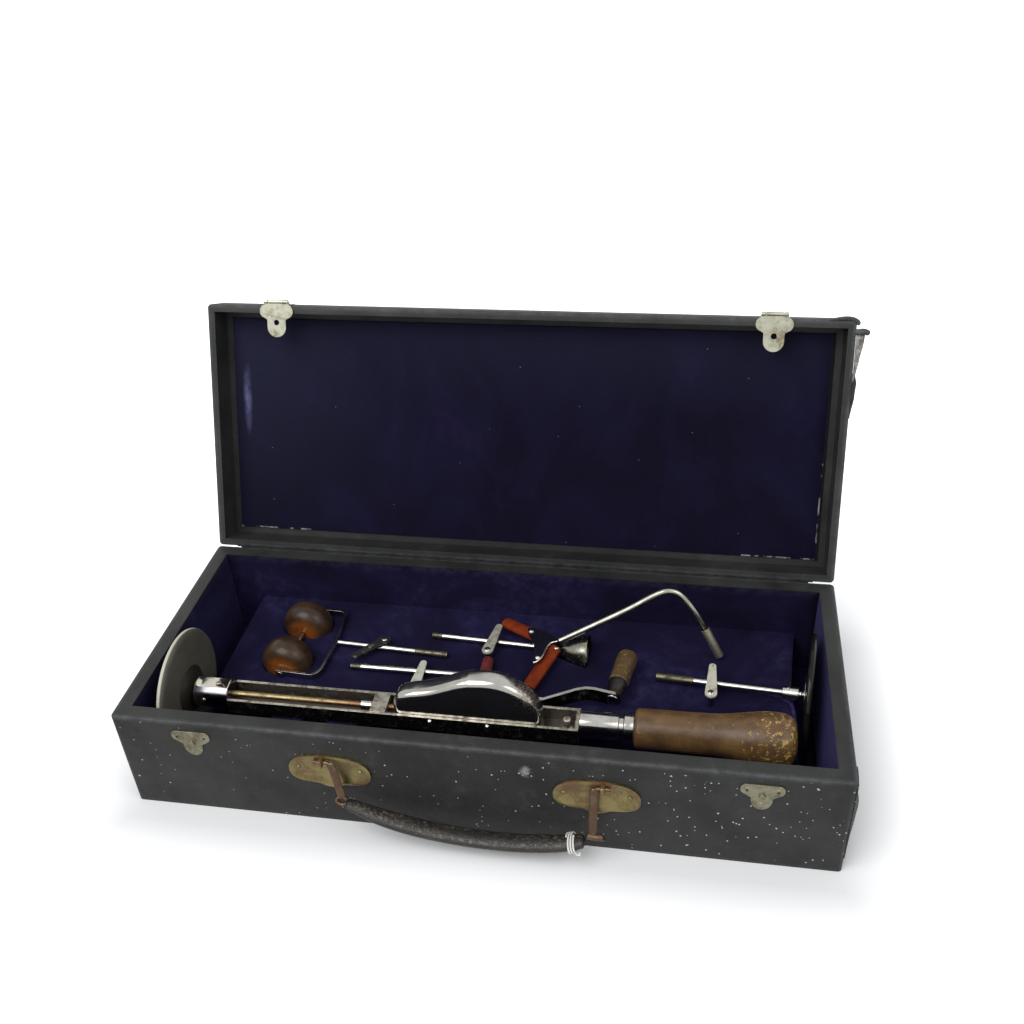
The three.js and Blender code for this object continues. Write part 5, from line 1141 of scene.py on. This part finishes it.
thread_metal = plated("thread_nickel", (0.22, 0.20, 0.15), (0.12, 0.11, 0.075), 200.0, (0.3, 0.55),
                      (0.05, 0.045, 0.03), 0.03)
rod_nickel = plated("rod_nickel", (0.56, 0.55, 0.52), (0.42, 0.41, 0.38), 90.0, (0.14, 0.3))
for name in ("rod_2", "rod_3"):
    softened("round_" + name, name, rod_nickel, "case", "nickel", 0.0002, 2, 50, 50)
thread("rod_2_thread", (-109.1, 9.21, lying), (1, -0.001, 0), 7.8, 2.35, "nickel")
thread("rod_3_thread", (-55.9, 49.7, lying), (1, -0.0547, 0), 7.8, 2.35, "nickel")
thread("stem_thread", (-65.0, 30.22, lying), (87, -4.6, 0), 25.0, 2.45, "nickel")


def rubber(name, low, high, rough, shine=0.22):
    material, shader, place = paint(name, roughness=rough, specular_ior_level=shine)
    feed(shader, base_color=mixed(fade(clouds(place, 95.0, 7.0, 0.68), 0.36, 0.66), low, high))
    bumped(shader, clouds(place, 1200.0, 3.0), 0.25)
    return material


tip_rubber = rubber("dull_red_rubber", (0.070, 0.010, 0.011), (0.135, 0.022, 0.022), 0.5)
tip_shape = [(0, 0), (0.6, 2.4), (2.4, 3.8), (5.0, 4.2), (19.0, 4.2), (22.0, 3.8), (23.6, 2.2), (24.0, 0)]
turned("rubber_tip", rounded_line(tip_shape, 4), along((-8.0, 3.0, 45.5), (0, 1, 0)), tip_rubber, "case",
       "red_rubber", "red_tip", steps=48, smooth_deg=70)


# Cup: a thin spun nickel bell on the end of the third rod, open to the right, its rim turned over.
# It lies in the velvet, which it has pressed into a hollow.
cup_shape, cup_wall = rounded_line(cup_line, 5), 1.0
cup_inside = [(onward, radius - cup_wall) for onward, radius in reversed(cup_shape[8:-1])]
# painted shade: the cup's nickel is a darker copy of the nickel
cup_nickel = plated("cup_nickel", (0.24, 0.235, 0.20), (0.13, 0.125, 0.10), 90.0, (0.14, 0.36),
                    (0.07, 0.06, 0.035), 0.03)
cup_shape = [(0, 0)] + cup_shape + [(30.0, 13.5), (29.6, 12.9)] + cup_inside + [(7.5, 0)]
turned("spun_cup", cup_shape, along((cup_x, cup_y, lying), (*cup_way, 0)), cup_nickel, "case", "nickel",
       "cup", steps=96, smooth_deg=50)


# Disc rod: a nickelled rod with a collar and grub screw, a knurled olive sleeve on its threaded
# end, a dished washer, and a polished black ebonite disc that leans against the end wall.
disc_from, disc_to = Vector((115, 22.5, 44.8)), Vector((203, 11.7, 49.3))
disc_way = (disc_to - disc_from).normalized()
disc_line = along(disc_from, disc_way)
softened("disc_stem", "disc_rod", rod_nickel, "case", "nickel", 0.0003, 2, 50, 50)
thread("sleeve_thread", disc_from + disc_way * 0.4, disc_way, 26.6, 3.3, "aged_nickel", "rod_sleeve",
       pitch=0.7, core=2.5)
screw_at = disc_from + disc_way * 92 + Vector((0, 0, 4.5))
slotted_screw("collar_screw", screw_at, (0, 0, 1), 1.3, "case", "nickel", 50)
for name, at in (("collar_groove_left", 89.3), ("collar_groove_right", 98.2)):
    turned(name, [(at, 4.5), (at + 0.1, 4.85), (at + 0.5, 4.85), (at + 0.6, 4.5)], disc_line, bright_nickel,
           "case", "nickel", steps=64)
washer_shape = rounded_line([(101.8, 2.4), (101.9, 4.0), (102.5, 9.0), (103.5, 14.6), (104.0, 15.0)], 4)
turned("dished_washer", washer_shape + [(104.1, 14.9), (104.1, 2.4)], disc_line, bright_nickel, "case",
       "nickel", "dish_washer", steps=96)

ebonite, shader, place = paint("polished_ebonite", specular_ior_level=0.18)
cloud = clouds(place, 40.0, 6.0)
feed(shader, base_color=mixed(fade(cloud, 0.35, 0.7), (0.006, 0.0055, 0.005), (0.015, 0.013, 0.011)),
     roughness=span(cloud, 0.3, 0.7, 0.05, 0.17))
ebonite_shape = [(104.4, 0), (104.4, 19.6), (104.9, 20.6), (105.2, 21.2), (105.2, 29.6), (104.8, 30.6),
                 (104.7, 40.0), (105.0, 41.8), (105.8, 42.9), (106.7, 43.0), (107.8, 42.9), (108.7, 41.9),
                 (109.0, 40.6), (109.0, 0)]
turned("ebonite_plate", ebonite_shape, disc_line, ebonite, "case", "ebonite", "ebonite_disc", steps=128)


# Turn-buttons: tapered nickelled strips, each on a slotted screw into the deck, turned over the
# stems to hold them down. Their plating has gone chalky; the first is painted near black as painted shade.
def shaded_post(under):
    """Marks for the post below a height (m), which stands in the shade of the velvet."""
    return lambda at, fine, tone: laid(tone, (0.008, 0.006, 0.024), maths("LESS_THAN", axes(at)[2], under))


for number, x, y, top, bright, dull, metal in [
    # button 1 is painted near black: painted shade
    (1, -90.0, 36.4, 48.0, (0.075, 0.075, 0.080), (0.035, 0.034, 0.036), 1.0),
    (2, -56.0, -12.5, 48.0, (0.56, 0.55, 0.46), (0.42, 0.41, 0.33), 0.25),
    (3, -9.8, 31.9, 49.9, (0.56, 0.54, 0.46), (0.26, 0.23, 0.17), 0.6),
    (4, 153.7, 1.4, 53.8, (0.60, 0.58, 0.47), (0.48, 0.46, 0.36), 0.25),
]:
    plating = plated(f"button_nickel_{number}", bright, dull, 180.0, (0.34, 0.6), (0.25, 0.22, 0.15), 0.02,
                     shaded_post((top - 2.6) / 1000), metal)
    body = f"turn_button_{number}"
    softened(f"strip_button_{number}", body, plating, body, "aged_nickel", 0.00035, 2, 45, 50)
    slotted_screw(f"button_screw_{number}", (x, y, top), (0, 0, 1), 2.2, body, "aged_nickel", 25 * number)


# Fork: two flat orange-red rubber arms riveted under a mirror-bright plate with rolled edges, and a
# bent nickelled tube that ends in a slightly wider sleeve.
fork_rubber = rubber("orange_red_rubber", (0.120, 0.017, 0.004), (0.220, 0.032, 0.006), 0.55, 0.10)
for name, start, end in [
    ("back", (33, 45.5, 50), (-3.8, 69.1, 44.8)),
    ("front", (38.8, 35, 50), (24.9, -0.6, 44.8)),
]:
    start, run = Vector(start), Vector(end) - Vector(start)
    length = run.length
    arm_shape = [(-4.9, 0), (-4.0, 2.4), (-3.25, 3.8), (0, 5.0), (length - 5.0, 5.0), (length - 1.75, 3.8),
                 (length - 1.0, 2.4), (length - 0.2, 0)]
    place = (Matrix.Translation(start / 1000) @ Matrix.Rotation(math.atan2(run.y, run.x), 4, "Z") @
             Matrix.Rotation(math.asin(-run.z / length), 4, "Y") @ Matrix.Diagonal((1, 1, 0.65, 1)) @
             Matrix.Rotation(math.radians(90), 4, "Y"))
    turned("rubber_arm_" + name, rounded_line(arm_shape, 4), place, fork_rubber, "fork", "red_rubber",
           "fork_pad_" + name, steps=56, smooth_deg=70)
mirror_nickel = plated("mirror_nickel", (0.46, 0.45, 0.43), (0.36, 0.35, 0.33), 50.0, (0.05, 0.14))
softened("fork_bridge", "fork_plate", mirror_nickel, "fork", "nickel", 0.0006, 4, 45, 50)
# painted shade: the tube's nickel is darker than the rods' nickel
stem_nickel = plated("stem_nickel", (0.40, 0.39, 0.34), (0.26, 0.25, 0.21), 70.0, (0.16, 0.36))
tube_route = [(43.45, 40.9, 55.4), (66, 46.2, 66.8), (92, 52.3, 80.2), (108, 56.6, 89.4), (116, 58.8, 92.9),
              (121.5, 60, 93.5), (127, 60.3, 91.8), (132.6, 59.6, 86.6), (140, 58, 76.8), (149, 56, 61.8)]
swept("fork_stem", tube_route, (2.5, 2.5), stem_nickel, "fork", "nickel", "fork_tube")
sleeve_nickel = plated("sleeve_nickel", (0.44, 0.42, 0.33), (0.27, 0.255, 0.19), 110.0, (0.42, 0.6),
                       (0.12, 0.10, 0.06), 0.02)
sleeve_shape = [(-1.6, 0), (-1.6, 2.7), (-1.2, 3.2), (21.6, 3.3), (22.1, 3.1), (22.2, 2.5), (20.0, 2.3),
                (20.0, 0)]
turned("fork_sleeve", sleeve_shape, along(tube_route[-1], (11, -6.2, -18.2)), sleeve_nickel, "fork", "nickel",
       steps=48)
plate_top = 55.1
# painted highlight: the plate's rolled edge is a paler nickel than the plate
edge_highlight_nickel = plated("edge_highlight_nickel", (0.80, 0.78, 0.72), (0.62, 0.60, 0.54), 90.0, (0.2, 0.4))
edge_plan = [(41.4, 40.6), (37.2, 38.4), (34.8, 33.7), (33.5, 27.1), (32.0, 21.5), (29.6, 17.6), (27.0, 15.9)]
edge_route = [(42.2, 43.0, 54.9)] + [(x, y, plate_top) for x, y in edge_plan]
swept("bridge_edge", edge_route, (0.7, 0.6), edge_highlight_nickel, "fork", "nickel", side=(0, 0, 1), sides=12)
for name, profile, place in [
    ("plate_rivet_back", [(0, 2.1), (0.5, 2.0), (1.1, 1.2), (1.3, 0)], (20.8, 49.5, plate_top)),
    ("plate_rivet_front", [(0, 2.1), (0.5, 2.0), (1.1, 1.2), (1.3, 0)], (29.6, 21.7, plate_top)),
    ("arm_rivet", [(0, 1.9), (0.35, 1.8), (0.8, 1.1), (0.95, 0)], (41.3, 35.6, 53.0)),
]:
    turned(name, rounded_line(profile, 3), along(place), bright_nickel, "fork", "nickel", steps=32)
